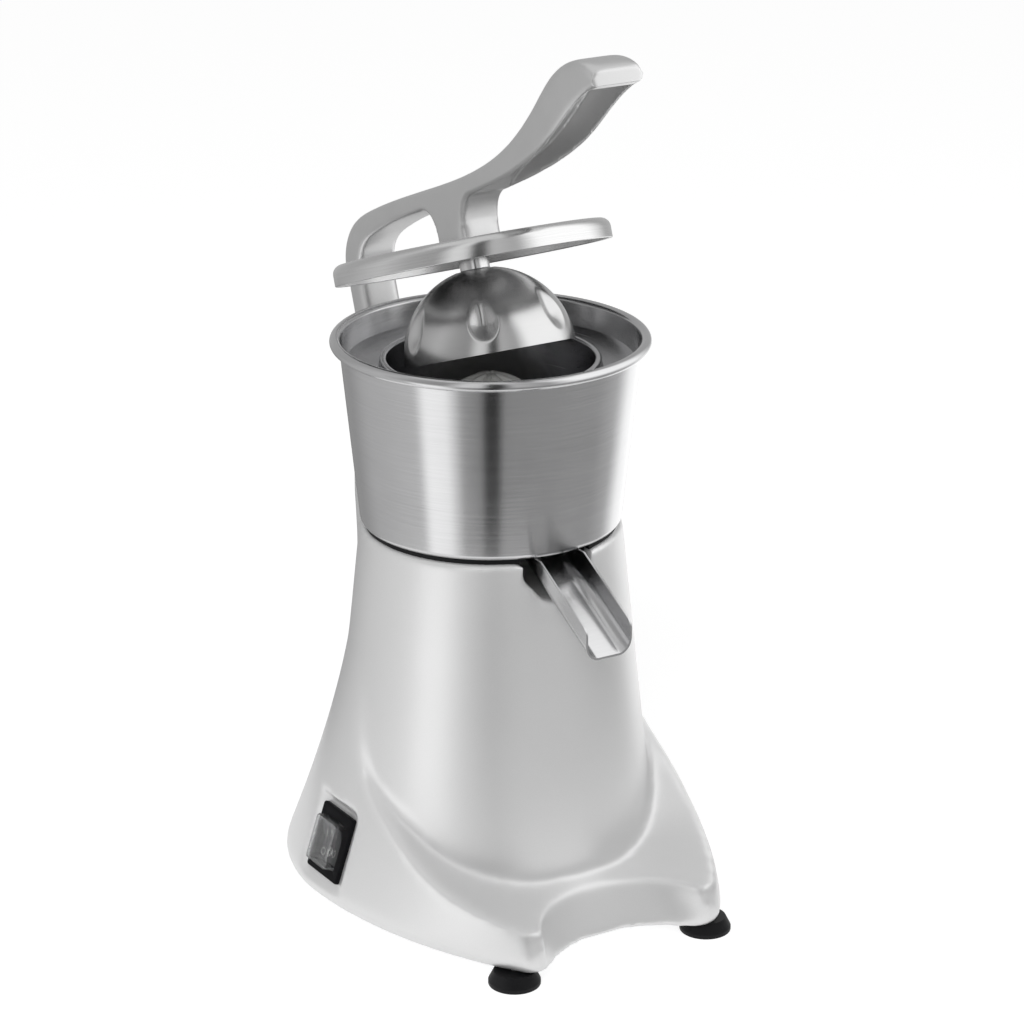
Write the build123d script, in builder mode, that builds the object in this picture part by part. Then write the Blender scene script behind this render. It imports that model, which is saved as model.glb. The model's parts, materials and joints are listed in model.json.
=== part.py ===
from build123d import *
from math import cos, pi, radians, sin, sqrt, tan
import os

os.makedirs("parts", exist_ok=True)

# Citrus juicer with a hand lever. The drive axis is Z, the counter is z = 0, the spout points to -Y.
# The lever is raised by LEVER_LIFT from its closed place over the reamer.

# Clearances
FIT_GAP = 0.05
SEAT_GAP = 0.3
PANEL_GAP = 0.4
OVERCUT = 1.0

# Housing: a cone above, a flared bell with two front legs below, and a column behind for the hinge
FOOT_HEIGHT = 8.0
HOUSING_TOP_Z = 207.5
HOUSING_TOP_RADIUS = 70.5
CORE_ANGLE = 6.1
CORE_WALL = 4.0
BELL_TOP_Z = 160.0
BELL_FLARE = 21.2
BELL_SINK = 1.0
BELL_SHIFT = 12.0
BELL_WALL = 10.0
FLARE_POWER = 1.6
BELL_LEVELS = 8
BELL_LOFT_SHARE = 0.97
BELL_BOTTOM_ROUND = 8.0
LEG_TIP_INSET = 11.5
LEG_TIP_X = HOUSING_TOP_RADIUS - LEG_TIP_INSET
LEG_LENGTH = 139.5
LEG_LEAN = 0.22
LEG_POWER = 2.2
LEG_TIP_ROUND = 9.0
LEG_FRONT_CROWN = 3.0
LEDGE_WALL = 6.0
SCOOP_SINK = 20.0
SCOOP_REACH = 40.0
ARCH_TOP_Z = 32.0
ARCH_TOP_SETBACK = 41.5
ARCH_TOP_Y = ARCH_TOP_SETBACK - LEG_LENGTH
ARCH_TOP_RADIUS = 51.0
ARCH_FOOT_SETBACK = 25.5
ARCH_FOOT_Y = ARCH_FOOT_SETBACK - LEG_LENGTH
ARCH_FOOT_RADIUS = 62.0
DECK_Z = 184.0
DECK_THICKNESS = 6.0
DECK_RIM_WIDTH = 9.0
SEAL_BOSS_RADIUS = 20.0
SEAL_BOSS_HEIGHT = 16.0
NOTCH_TOP_WIDTH = 42.0
NOTCH_FLOOR_WIDTH = 20.0
NOTCH_FLOOR_Z = 186.0
NOTCH_SHOULDER = 8.0
NOTCH_ROUND = 5.0

# Ledge of the scoop between cone and legs: angle from the front, height at the cone, height at the rim
LEDGE = [
    (0, 32, 31), (10, 32.4, 31), (24, 35, 31.5), (41, 42, 41), (55, 54, 55),
    (66, 66, 68), (77, 78, 80), (87, 100, 102), (96, 150, 150),
]

# Column, fork and hinge
HINGE_Y = 116.0
HINGE_Z = 280.0
COLUMN_WIDTH = 30.0
COLUMN_FRONT_GAP = 7.0
COLUMN_ROUND = 4.0
EAR_RADIUS = 11.5
EAR_SHOULDER = 24.0
FORK_WIDTH = 18.0
PIN_RADIUS = 5.0
PIN_OVERHANG = 2.6
BUSH_WALL = 2.0
WASHER_THICKNESS = 1.0
WASHER_RADIUS = 10.0
CIRCLIP_THICKNESS = 1.0
CIRCLIP_RADIUS = 8.0
CIRCLIP_GROOVE = 0.5

# Feet and base plate
FOOT_TOP_RADIUS = 11.0
FOOT_BOTTOM_RADIUS = 13.8
FOOT_LIP = 2.5
FRONT_FOOT_INSET = 10.5
FRONT_FOOT_SETBACK = 17.5
REAR_FOOT_REACH = 23.0
REAR_FOOT_ANGLE = 48.5
FRONT_FOOT = (HOUSING_TOP_RADIUS - FRONT_FOOT_INSET, FRONT_FOOT_SETBACK - LEG_LENGTH)
REAR_FOOT = (
    (HOUSING_TOP_RADIUS + REAR_FOOT_REACH) * cos(radians(REAR_FOOT_ANGLE)),
    (HOUSING_TOP_RADIUS + REAR_FOOT_REACH) * sin(radians(REAR_FOOT_ANGLE)),
)
FOOT_BOSS_RADIUS = 5.5
FRONT_BOSS_HEIGHT = 16.0
REAR_BOSS_HEIGHT = 40.0
FOOT_SCREW_RADIUS = 2.0
FOOT_SCREW_HEAD_RADIUS = 4.0
FOOT_SCREW_HEAD_HEIGHT = 2.6
FOOT_SCREW_RECESS = 2.4
FOOT_SCREW_GRIP = 12.0
PLATE_THICKNESS = 2.0
VENT_LENGTH = 26.0
VENT_WIDTH = 4.0
VENT_COUNT = 12
VENT_CIRCLE = 40.0

# Juice bowl and its gasket
BOWL_FLOOR_Z = 209.0
BOWL_FLOOR_RADIUS = 70.0
BOWL_RIM_RADIUS = 80.2
BOWL_RIM_Z = 308.5
BOWL_SHEET = 1.0
BOWL_FLOOR_ROUND = 4.0
BEAD_RADIUS = 2.5
CHIMNEY_RADIUS = 16.8
CHIMNEY_TOP_Z = 238.0
OUTLET_NEAR = 46.0
OUTLET_FAR = 63.0
OUTLET_WIDTH = 22.0
GASKET_INSET = 5.0
GASKET_RADIUS = HOUSING_TOP_RADIUS - GASKET_INSET
GASKET_WIDTH = 4.0
GASKET_DEPTH = 1.0

# Spout: a folded trough that hangs under the bowl floor
SPOUT_WIDTH = 28.0
SPOUT_SHEET = 1.2
SPOUT_SLOPE = 28.0
SPOUT_TIP_Y = -117.0
SPOUT_TIP_Z = 168.0
SPOUT_WALL = 15.0
SPOUT_CORNER = 8.0
SPOUT_END_ROUND = 6.0
SPOUT_START_Y = -43.0

# Strainer
STRAINER_RIM_Z = 297.5
STRAINER_RIM_GAP = 0.4
STRAINER_SHELF_DROP = 4.0
COLLAR_RADIUS = 58.8
COLLAR_WIDTH = 3.6
COLLAR_TOP_Z = 299.5
STRAINER_FLOOR_Z = 245.0
STRAINER_FLOOR_RADIUS = 52.5
STRAINER_EYE_RADIUS = 23.5
STRAINER_EYE_HEIGHT = 4.0
STRAINER_SHEET = 1.0
SIEVE_SLOTS = 30
SIEVE_SLOT_LENGTH = 18.0
SIEVE_SLOT_WIDTH = 2.0

# Drive shaft, hub and reamer
SHAFT_RADIUS = 6.0
SHAFT_GAP = 1.0
SHAFT_BOTTOM_Z = 15.0
SHAFT_TOP_Z = 240.0
HUB_RADIUS = 13.0
HUB_BOTTOM_Z = 213.0
HUB_SHOULDER_Z = 246.0
HUB_DRIVE_SIDE = 14.0
HUB_DRIVE_HEIGHT = 16.0
HUB_PIN_RADIUS = 2.0
HUB_PIN_Z = 226.0
REAMER_BASE_Z = 252.0
REAMER_BASE_RADIUS = 38.5
REAMER_BASE_THICKNESS = 3.5
REAMER_TOP_Z = 290.0
REAMER_CORE_RADIUS = 26.0
REAMER_NOSE_RADIUS = 4.0
REAMER_RIB_RADIUS = 35.0
REAMER_RIB_THICKNESS = 3.2
REAMER_RIBS = 8
REAMER_CORE_BULGE = (0.72, 0.55)
REAMER_RIB_BULGE = (0.74, 0.6)
SKIRT_RADIUS = 20.8
SKIRT_WALL = 2.4
SKIRT_BOTTOM_Z = 232.0
SEAL_RADIUS = 13.0
SEAL_HEIGHT = 6.0

# Motor
STATOR_INSET = 14.5
STATOR_RADIUS = HOUSING_TOP_RADIUS - STATOR_INSET
STATOR_BORE = 32.0
STATOR_BOTTOM_Z = 74.0
STATOR_HEIGHT = 52.0
AIR_GAP = 0.5
WINDING_INNER = 34.5
WINDING_INSET = 4.0
WINDING_OUTER = STATOR_RADIUS - WINDING_INSET
WINDING_HEIGHT = 17.0
WINDING_ROUND = min(WINDING_HEIGHT, WINDING_OUTER - WINDING_INNER) / 4
BRACKET_WALL = 4.0
BRACKET_LIP = 6.0
BRACKET_PLATE = 5.0
BRACKET_CUP = 24.0
BRACKET_EYE_GAP = 2.0
BEARING_RADIUS = 14.0
BEARING_HEIGHT = 9.0
BEARING_SEAT_WALL = 5.0
MOTOR_BOLT_REACH = 8.0
MOTOR_BOLT_CIRCLE = STATOR_RADIUS + MOTOR_BOLT_REACH
MOTOR_BOLT_RADIUS = 2.5
MOTOR_BOLT_HEAD = 4.5
MOTOR_BOLT_HEAD_HEIGHT = 3.5
EAR_BOSS_RADIUS = 6.5
POST_INSET = 8.0
POST_CIRCLE = STATOR_RADIUS - POST_INSET
POST_RADIUS = 6.0
MOUNT_SCREW_RADIUS = 2.5
MOUNT_SCREW_HEAD = 4.5
MOUNT_SCREW_HEAD_HEIGHT = 3.0
MOUNT_SCREW_GRIP = 12.0
FAN_RADIUS = 44.0
FAN_HUB_RADIUS = 11.0
FAN_Z = 16.0
FAN_HEIGHT = 14.0
FAN_DISC = 2.0
FAN_BLADES = 9
FAN_BLADE_THICKNESS = 2.0
FAN_BLADE_INSET = 2.0

# Electrical pieces on the base plate
CAPACITOR_INSET = 34.5
CAPACITOR_PLACE = (HOUSING_TOP_RADIUS - CAPACITOR_INSET, 66.0)
CAPACITOR_RADIUS = 13.0
CAPACITOR_HEIGHT = 30.0
CAPACITOR_CAN_ROUND = 2.0
CLAMP_HEIGHT = 10.0
CLAMP_Z = 18.0
CLAMP_SHEET = 1.5
CLAMP_FOOT = 12.0
BLOCK_INSET = 36.5
BLOCK_PLACE = (BLOCK_INSET - HOUSING_TOP_RADIUS, 72.0)
BLOCK_SIZE = (30.0, 18.0, 15.0)
BLOCK_POLES = 3

# Cord gland in the rear wall
GLAND_X = 48.0
GLAND_Z = 30.0
GLAND_BORE = 3.6
GLAND_THREAD = 8.0
GLAND_HEX = 11.0
GLAND_HEAD = 9.0
GLAND_REACH = 29.5
GLAND_FACE_Y = HOUSING_TOP_RADIUS + GLAND_REACH
GLAND_WALL = 6.0
GLAND_NUT = 5.0
GLAND_NECK = 8.4
GLAND_SPOT = 28.0
GLAND_SPOT_ROUND = 5.0
GLAND_POCKET = 14.0

# Switch on the left side, tilted with the flare
SWITCH_REACH = 27.5
SWITCH_PLACE = (-HOUSING_TOP_RADIUS - SWITCH_REACH, 3.0, 39.5)
SWITCH_TILT = 18.9
PAD_SIZE = (40.0, 47.0)
PAD_WALL = 5.0
PAD_ROUND = 3.0
BEZEL_SIZE = (32.0, 37.0)
BEZEL_HEIGHT = 2.6
BEZEL_ROUND = 1.5
SWITCH_BODY = (26.0, 31.0)
SWITCH_BODY_DEPTH = 18.0
BOOT_SIZE = (21.6, 25.6)
BOOT_HEIGHT = 8.5
BOOT_SHEET = 0.8
BOOT_ROUND = 1.6
ROCKER_SIZE = (18.0, 21.0)
ROCKER_LIP = 5.0
ROCKER_DIP = 2.6
ROCKER_HEEL = 5.0
ROCKER_PIVOT_DEPTH = 2.5
ROCKER_PIN_RADIUS = 1.5
ROCKER_TRAVEL = 16.0
TERMINAL_SIZE = (6.3, 0.8, 9.0)
TERMINAL_PITCH = (12.0, 16.0)

# Lever: sizes are given as in the closed place, measured from the hinge
LEVER_LIFT = 20.0
LEVER_ROUND = 3.0
TONGUE_WIDTH = 15.6
EYE_RADIUS = 11.0
TONGUE_DEPTH = 15.0
BOSS_LENGTH = 30.0
BOSS_WIDTH = 25.2
BOSS_BOTTOM = 48.0
BOSS_ROUND = 5.0
CAVITY_LIP = 2.6

# Side outline of the arm: along the top from the tail to the tip, back under the handle, and under the arm
ARM_TOP = [
    (8, 34), (6.5, 50), (-4, 61.5), (-31, 68.7), (-95, 71.4), (-151, 74.6), (-195, 84.4), (-228, 99),
    (-250, 110), (-270, 112.6), (-288, 104.8),
]
HANDLE_UNDER = [
    (-286.5, 96.6), (-268, 92.4), (-252, 86), (-235.5, 78.6), (-204.5, 69.6), (-175, 65), (-146, 62.4),
]
REAR_UNDER = [(-86, 60.4), (-58, 59), (-35, 56), (-18, 51), (-8, 34)]
TAIL_END = 13.0
ARM_WIDTH = 24.0
HANDLE_WIDTH = 30.0
HANDLE_START = -165.0
HANDLE_FULL = -255.0
HOLLOW_ROOF = [(-150, 62.6), (-167, 71.4), (-195, 79.4), (-228, 94), (-250, 105), (-266, 108), (-281, 102)]

# Press: disc, hub, stem and cup on the press axis, heights from the hinge
DISC_RADIUS = 74.3
DISC_RIM = 30.3
DISC_HEIGHT = 9.2
DISC_SHEET = 1.4
DISC_ROUND = 4.0
CUP_RADIUS = 45.7
CUP_DROP = 50.5
CUP_HEIGHT = 44.5
CUP_SHEET = 2.2
CUP_DIMPLES = 6
DIMPLE_DEPTH = 3.0
DIMPLE_RADIUS = 13.0
DIMPLE_LIFT = 18.0
DIMPLE_TURN = 59.0
STEM_RADIUS = 8.0
STEM_SHANK_RADIUS = 5.0
STEM_SHANK_GRIP = 12.0
STEM_END_RADIUS = 4.0
CUP_WASHER_RADIUS = 9.0
CUP_WASHER_THICKNESS = 1.0
CUP_NUT_RADIUS = 6.5
CUP_NUT_HEIGHT = 5.0


def core_radius(z):
    """Outer radius of the housing cone at height z."""
    return HOUSING_TOP_RADIUS + (HOUSING_TOP_Z - z) * tan(radians(CORE_ANGLE))


def bell_section(z, inset):
    """Face of the bell at height z: a rear half circle, two tangent sides and a crowned front."""
    share = (BELL_TOP_Z - z) / (BELL_TOP_Z - FOOT_HEIGHT)
    spread = share**FLARE_POWER
    reach = 1 - (1 - share) ** LEG_POWER
    radius = core_radius(z) - BELL_SINK + BELL_FLARE * spread - inset
    centre = BELL_SHIFT * spread
    tip_x = LEG_TIP_X - inset
    leg = LEG_LENGTH - inset - LEG_LEAN * (z - FOOT_HEIGHT)
    tip_y = -(sqrt(radius**2 - tip_x**2) * (1 - reach) + leg * reach)
    front_y = -radius * (1 - reach) + (tip_y - LEG_FRONT_CROWN) * reach
    with BuildSketch(Plane.XY.offset(z)) as section:
        with BuildLine():
            ThreePointArc((radius, centre), (0, centre + radius), (-radius, centre))
            TangentArc((-radius, centre), (-tip_x, tip_y), tangent=(0, -1))
            ThreePointArc((-tip_x, tip_y), (0, front_y), (tip_x, tip_y))
            TangentArc((radius, centre), (tip_x, tip_y), tangent=(0, -1))
        make_face()
    return section.sketch.face()


def bell(inset):
    """Solid bell, drawn in by inset all round."""
    step = (BELL_TOP_Z - FOOT_HEIGHT) * BELL_LOFT_SHARE / (BELL_LEVELS - 1)
    with BuildPart() as shape:
        loft([bell_section(FOOT_HEIGHT + step * level, inset) for level in range(BELL_LEVELS)])
    return shape.part


def scoop(drop):
    """Tool above the ledge on both sides, lowered by drop."""
    inner = HOUSING_TOP_RADIUS - SCOOP_SINK
    outer = LEG_LENGTH + SCOOP_REACH
    with BuildPart() as tool:
        sections = []
        for angle, at_cone, at_rim in LEDGE:
            outward = (sin(radians(angle)), -cos(radians(angle)), 0)
            across = (-cos(radians(angle)), -sin(radians(angle)), 0)
            with BuildSketch(Plane((0, 0, 0), x_dir=outward, z_dir=across)) as section:
                with BuildLine():
                    Polyline(
                        (inner, at_cone - drop), (outer, at_rim - drop),
                        (outer, HOUSING_TOP_Z), (inner, HOUSING_TOP_Z), close=True,
                    )
                make_face()
            sections.append(section.sketch.face())
        loft(sections)
        mirror(about=Plane.YZ)
    return tool.part


def arch(inset):
    """Slanted round tool that opens the bay between the legs, grown by inset."""
    rise = ARCH_TOP_Z - FOOT_HEIGHT
    sections = []
    for z in (FOOT_HEIGHT - rise / 4, ARCH_TOP_Z + rise / 2):
        share = (z - FOOT_HEIGHT) / rise
        lip = ARCH_FOOT_Y + (ARCH_TOP_Y - ARCH_FOOT_Y) * share
        radius = ARCH_FOOT_RADIUS + (ARCH_TOP_RADIUS - ARCH_FOOT_RADIUS) * share
        with BuildSketch(Plane.XY.offset(z)) as section:
            with Locations((0, lip - radius)):
                Circle(radius + inset)
        sections.append(section.sketch.face())
    with BuildPart() as tool:
        loft(sections, ruled=True)
    return tool.part


def core(top, inset):
    """Solid housing cone from its foot up to top, drawn in by inset."""
    with BuildPart() as shape:
        with BuildSketch(Plane.XZ):
            with BuildLine():
                Polyline(
                    (0, FOOT_HEIGHT), (core_radius(FOOT_HEIGHT) - inset, FOOT_HEIGHT),
                    (core_radius(top) - inset, top), (0, top), close=True,
                )
            make_face()
        revolve(axis=Axis.Z)
    return shape.part


PLATE_TOP = FOOT_HEIGHT + PLATE_THICKNESS
DECK_UNDER = DECK_Z - DECK_THICKNESS
FEET = {
    "front_left": (-FRONT_FOOT[0], FRONT_FOOT[1]),
    "front_right": FRONT_FOOT,
    "rear_left": (-REAR_FOOT[0], REAR_FOOT[1]),
    "rear_right": REAR_FOOT,
}
BOLT_START = 45
COLUMN_FRONT = BOWL_RIM_RADIUS + 2 * BEAD_RADIUS + COLUMN_FRONT_GAP
SWITCH_NORMAL = (-cos(radians(SWITCH_TILT)), 0, sin(radians(SWITCH_TILT)))
switch_panel = Plane(SWITCH_PLACE, x_dir=(0, -1, 0), z_dir=SWITCH_NORMAL)
gland_face = Plane((GLAND_X, GLAND_FACE_Y, GLAND_Z), x_dir=(-1, 0, 0), z_dir=(0, 1, 0))

# Housing
with BuildPart() as cavity:
    add(bell(BELL_WALL))
    add(scoop(LEDGE_WALL), mode=Mode.SUBTRACT)
    add(core(DECK_UNDER, CORE_WALL))
    add(arch(LEDGE_WALL), mode=Mode.SUBTRACT)

with BuildPart() as column:
    with BuildSketch(Plane.XY.offset(BELL_TOP_Z / 2)):
        RectangleRounded(COLUMN_WIDTH, 2 * (HINGE_Y + EAR_RADIUS), COLUMN_ROUND)
    extrude(amount=HINGE_Z + EAR_RADIUS)
    with BuildSketch(Plane.YZ):
        with BuildLine():
            Polyline(
                (0, BELL_TOP_Z / 2), (HINGE_Y + EAR_RADIUS, BELL_TOP_Z / 2), (HINGE_Y + EAR_RADIUS, HINGE_Z),
                (HINGE_Y - EAR_RADIUS, HINGE_Z), (COLUMN_FRONT, HINGE_Z - EAR_SHOULDER),
                (COLUMN_FRONT, HOUSING_TOP_Z - NOTCH_SHOULDER), (0, HOUSING_TOP_Z - NOTCH_SHOULDER),
                close=True,
            )
        make_face()
        with Locations((HINGE_Y, HINGE_Z)):
            Circle(EAR_RADIUS)
    extrude(amount=COLUMN_WIDTH, both=True, mode=Mode.INTERSECT)

with BuildPart() as housing:
    add(bell(0))
    leg_corners = housing.edges().filter_by(
        lambda edge: edge.bounding_box().size.Z > BELL_TOP_Z / 2
        and abs(edge.center().X) < LEG_TIP_X + OVERCUT
    )
    fillet(leg_corners, LEG_TIP_ROUND)
    fillet(housing.faces().sort_by(Axis.Z)[0].edges(), BELL_BOTTOM_ROUND)
    add(scoop(0), mode=Mode.SUBTRACT)
    add(core(HOUSING_TOP_Z, 0))
    add(arch(0), mode=Mode.SUBTRACT)
    # Fork and pin bore for the lever
    add(column.part)
    with Locations((0, HINGE_Y, HINGE_Z - EYE_RADIUS - OVERCUT)):
        Box(
            FORK_WIDTH, 4 * EAR_RADIUS, 4 * EAR_RADIUS,
            align=(Align.CENTER, Align.CENTER, Align.MIN), mode=Mode.SUBTRACT,
        )
    with Locations(Plane((0, HINGE_Y, HINGE_Z), z_dir=(1, 0, 0))):
        Cylinder(PIN_RADIUS + FIT_GAP, COLUMN_WIDTH + 2 * OVERCUT, mode=Mode.SUBTRACT)
    add(cavity.part, mode=Mode.SUBTRACT)
    # Recess under the bowl, with the boss for the shaft seal and the notch for the spout
    with BuildSketch(Plane.XY.offset(DECK_Z)):
        Circle(HOUSING_TOP_RADIUS - DECK_RIM_WIDTH)
        Circle(SEAL_BOSS_RADIUS, mode=Mode.SUBTRACT)
    extrude(amount=HOUSING_TOP_Z - DECK_Z, mode=Mode.SUBTRACT)
    with BuildSketch(Plane.XY.offset(DECK_Z + SEAL_BOSS_HEIGHT)):
        Circle(SEAL_BOSS_RADIUS)
    extrude(amount=HOUSING_TOP_Z - DECK_Z - SEAL_BOSS_HEIGHT, mode=Mode.SUBTRACT)
    with BuildSketch(Plane.XY.offset(DECK_Z + SEAL_BOSS_HEIGHT - SEAL_HEIGHT)):
        Circle(SEAL_RADIUS)
    extrude(amount=SEAL_HEIGHT, mode=Mode.SUBTRACT)
    with Locations((0, 0, DECK_UNDER)):
        Cylinder(
            SHAFT_RADIUS + SHAFT_GAP, SEAL_BOSS_HEIGHT + DECK_THICKNESS,
            align=(Align.CENTER, Align.CENTER, Align.MIN), mode=Mode.SUBTRACT,
        )
        with PolarLocations(POST_CIRCLE, 4, start_angle=BOLT_START):
            Cylinder(
                MOUNT_SCREW_RADIUS + PANEL_GAP, DECK_THICKNESS,
                align=(Align.CENTER, Align.CENTER, Align.MIN), mode=Mode.SUBTRACT,
            )
    with BuildSketch(Plane.XZ.offset(SEAL_BOSS_RADIUS + NOTCH_ROUND)):
        with BuildLine():
            Polyline(
                (-NOTCH_TOP_WIDTH / 2, HOUSING_TOP_Z + OVERCUT),
                (-NOTCH_TOP_WIDTH / 2, HOUSING_TOP_Z - NOTCH_SHOULDER),
                (-NOTCH_FLOOR_WIDTH / 2, NOTCH_FLOOR_Z), (NOTCH_FLOOR_WIDTH / 2, NOTCH_FLOOR_Z),
                (NOTCH_TOP_WIDTH / 2, HOUSING_TOP_Z - NOTCH_SHOULDER),
                (NOTCH_TOP_WIDTH / 2, HOUSING_TOP_Z + OVERCUT), close=True,
            )
        notch = make_face()
        fillet(notch.vertices().group_by(Axis.Y)[0], NOTCH_ROUND)
    extrude(amount=HOUSING_TOP_RADIUS, mode=Mode.SUBTRACT)
    # Groove for the bowl gasket
    with BuildSketch(Plane.XY.offset(HOUSING_TOP_Z - GASKET_DEPTH)):
        Circle(GASKET_RADIUS + GASKET_WIDTH / 2 + FIT_GAP)
        Circle(GASKET_RADIUS - GASKET_WIDTH / 2 - FIT_GAP, mode=Mode.SUBTRACT)
    extrude(amount=GASKET_DEPTH, mode=Mode.SUBTRACT)
    # Bosses that take the foot screws
    for x, y in FEET.values():
        with Locations((x, y, PLATE_TOP)):
            Cylinder(
                FOOT_BOSS_RADIUS, FRONT_BOSS_HEIGHT if y < 0 else REAR_BOSS_HEIGHT,
                align=(Align.CENTER, Align.CENTER, Align.MIN),
            )
        with Locations((x, y, FOOT_HEIGHT)):
            Cylinder(
                FOOT_SCREW_RADIUS + FIT_GAP, PLATE_THICKNESS + FOOT_SCREW_GRIP + OVERCUT,
                align=(Align.CENTER, Align.CENTER, Align.MIN), mode=Mode.SUBTRACT,
            )
    # Flat pad and cut-out for the switch
    with BuildSketch(switch_panel):
        RectangleRounded(*PAD_SIZE, PAD_ROUND)
    extrude(amount=-PAD_WALL)
    with BuildSketch(switch_panel):
        RectangleRounded(*PAD_SIZE, PAD_ROUND)
    extrude(amount=4 * PAD_WALL, mode=Mode.SUBTRACT)
    with BuildSketch(switch_panel):
        Rectangle(SWITCH_BODY[0] + PANEL_GAP, SWITCH_BODY[1] + PANEL_GAP)
    extrude(amount=-2 * PAD_WALL, mode=Mode.SUBTRACT)
    # Flat spot and six-sided hole for the cord gland, so that the gland can't turn
    with BuildSketch(gland_face):
        RectangleRounded(GLAND_SPOT, GLAND_SPOT, GLAND_SPOT_ROUND)
    extrude(amount=-GLAND_WALL)
    with BuildSketch(gland_face):
        RectangleRounded(GLAND_SPOT, GLAND_SPOT, GLAND_SPOT_ROUND)
    extrude(amount=6 * GLAND_WALL, mode=Mode.SUBTRACT)
    with BuildSketch(gland_face.offset(-GLAND_WALL)):
        RegularPolygon(GLAND_POCKET, 6)
    extrude(amount=-GLAND_NUT - GLAND_POCKET / 2, mode=Mode.SUBTRACT)
    with BuildSketch(gland_face):
        RegularPolygon(GLAND_NECK + FIT_GAP, 6, major_radius=False)
    extrude(amount=-2 * GLAND_WALL, mode=Mode.SUBTRACT)
housing.part.label = "housing"
export_step(housing.part, "parts/housing.step")

# Base plate, held between the feet and their bosses
with BuildPart() as base_plate:
    add(bell_section(PLATE_TOP, BELL_WALL + PANEL_GAP))
    extrude(amount=-PLATE_THICKNESS)
    add(arch(LEDGE_WALL + PANEL_GAP), mode=Mode.SUBTRACT)
    with BuildSketch(Plane.XY.offset(FOOT_HEIGHT)):
        with PolarLocations(VENT_CIRCLE, VENT_COUNT):
            SlotOverall(VENT_LENGTH, VENT_WIDTH)
        with Locations(*FEET.values()):
            Circle(FOOT_SCREW_RADIUS + FIT_GAP)
    extrude(amount=PLATE_THICKNESS, mode=Mode.SUBTRACT)
base_plate.part.label = "base_plate"
export_step(base_plate.part, "parts/base_plate.step")

# Rubber feet and their screws
recess_radius = FOOT_SCREW_HEAD_RADIUS + PANEL_GAP
recess_top = FOOT_SCREW_RECESS + FOOT_SCREW_HEAD_HEIGHT
for spot, (x, y) in FEET.items():
    with BuildPart() as foot:
        with BuildSketch(Plane((x, y, 0), x_dir=(1, 0, 0), z_dir=(0, -1, 0))):
            with BuildLine():
                Polyline(
                    (recess_radius, 0), (FOOT_BOTTOM_RADIUS, 0), (FOOT_BOTTOM_RADIUS, FOOT_LIP),
                    (FOOT_TOP_RADIUS, FOOT_HEIGHT), (FOOT_SCREW_RADIUS + FIT_GAP, FOOT_HEIGHT),
                    (FOOT_SCREW_RADIUS + FIT_GAP, recess_top), (recess_radius, recess_top), close=True,
                )
            make_face()
        revolve(axis=Axis((x, y, 0), (0, 0, 1)))
        lip = foot.edges().filter_by(GeomType.CIRCLE).sort_by(SortBy.RADIUS)[-1]
        fillet(lip, FOOT_LIP / 3)
    foot.part.label = f"foot_{spot}"
    export_step(foot.part, f"parts/foot_{spot}.step")

with BuildPart() as foot_screws:
    with Locations(*[(x, y, FOOT_SCREW_RECESS) for x, y in FEET.values()]):
        Cylinder(
            FOOT_SCREW_HEAD_RADIUS, FOOT_SCREW_HEAD_HEIGHT, align=(Align.CENTER, Align.CENTER, Align.MIN)
        )
        Cylinder(
            FOOT_SCREW_RADIUS, PLATE_TOP + FOOT_SCREW_GRIP - FOOT_SCREW_RECESS,
            align=(Align.CENTER, Align.CENTER, Align.MIN),
        )
foot_screws.part.label = "foot_screws"
export_step(foot_screws.part, "parts/foot_screws.step")

# Gasket, bowl and spout
with BuildPart() as bowl_gasket:
    with BuildSketch(Plane.XY.offset(HOUSING_TOP_Z - GASKET_DEPTH)):
        Circle(GASKET_RADIUS + GASKET_WIDTH / 2)
        Circle(GASKET_RADIUS - GASKET_WIDTH / 2, mode=Mode.SUBTRACT)
        with Locations((0, -GASKET_RADIUS)):
            Rectangle(
                NOTCH_TOP_WIDTH + 2 * PANEL_GAP, 2 * GASKET_WIDTH + GASKET_RADIUS / 4, mode=Mode.SUBTRACT
            )
    extrude(amount=BOWL_FLOOR_Z - HOUSING_TOP_Z + GASKET_DEPTH)
bowl_gasket.part.label = "bowl_gasket"
export_step(bowl_gasket.part, "parts/bowl_gasket.step")


def bowl_radius(z):
    """Outer radius of the bowl wall at height z."""
    share = (z - BOWL_FLOOR_Z) / (BOWL_RIM_Z - BOWL_FLOOR_Z)
    return BOWL_FLOOR_RADIUS + (BOWL_RIM_RADIUS - BOWL_FLOOR_RADIUS) * share


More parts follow.
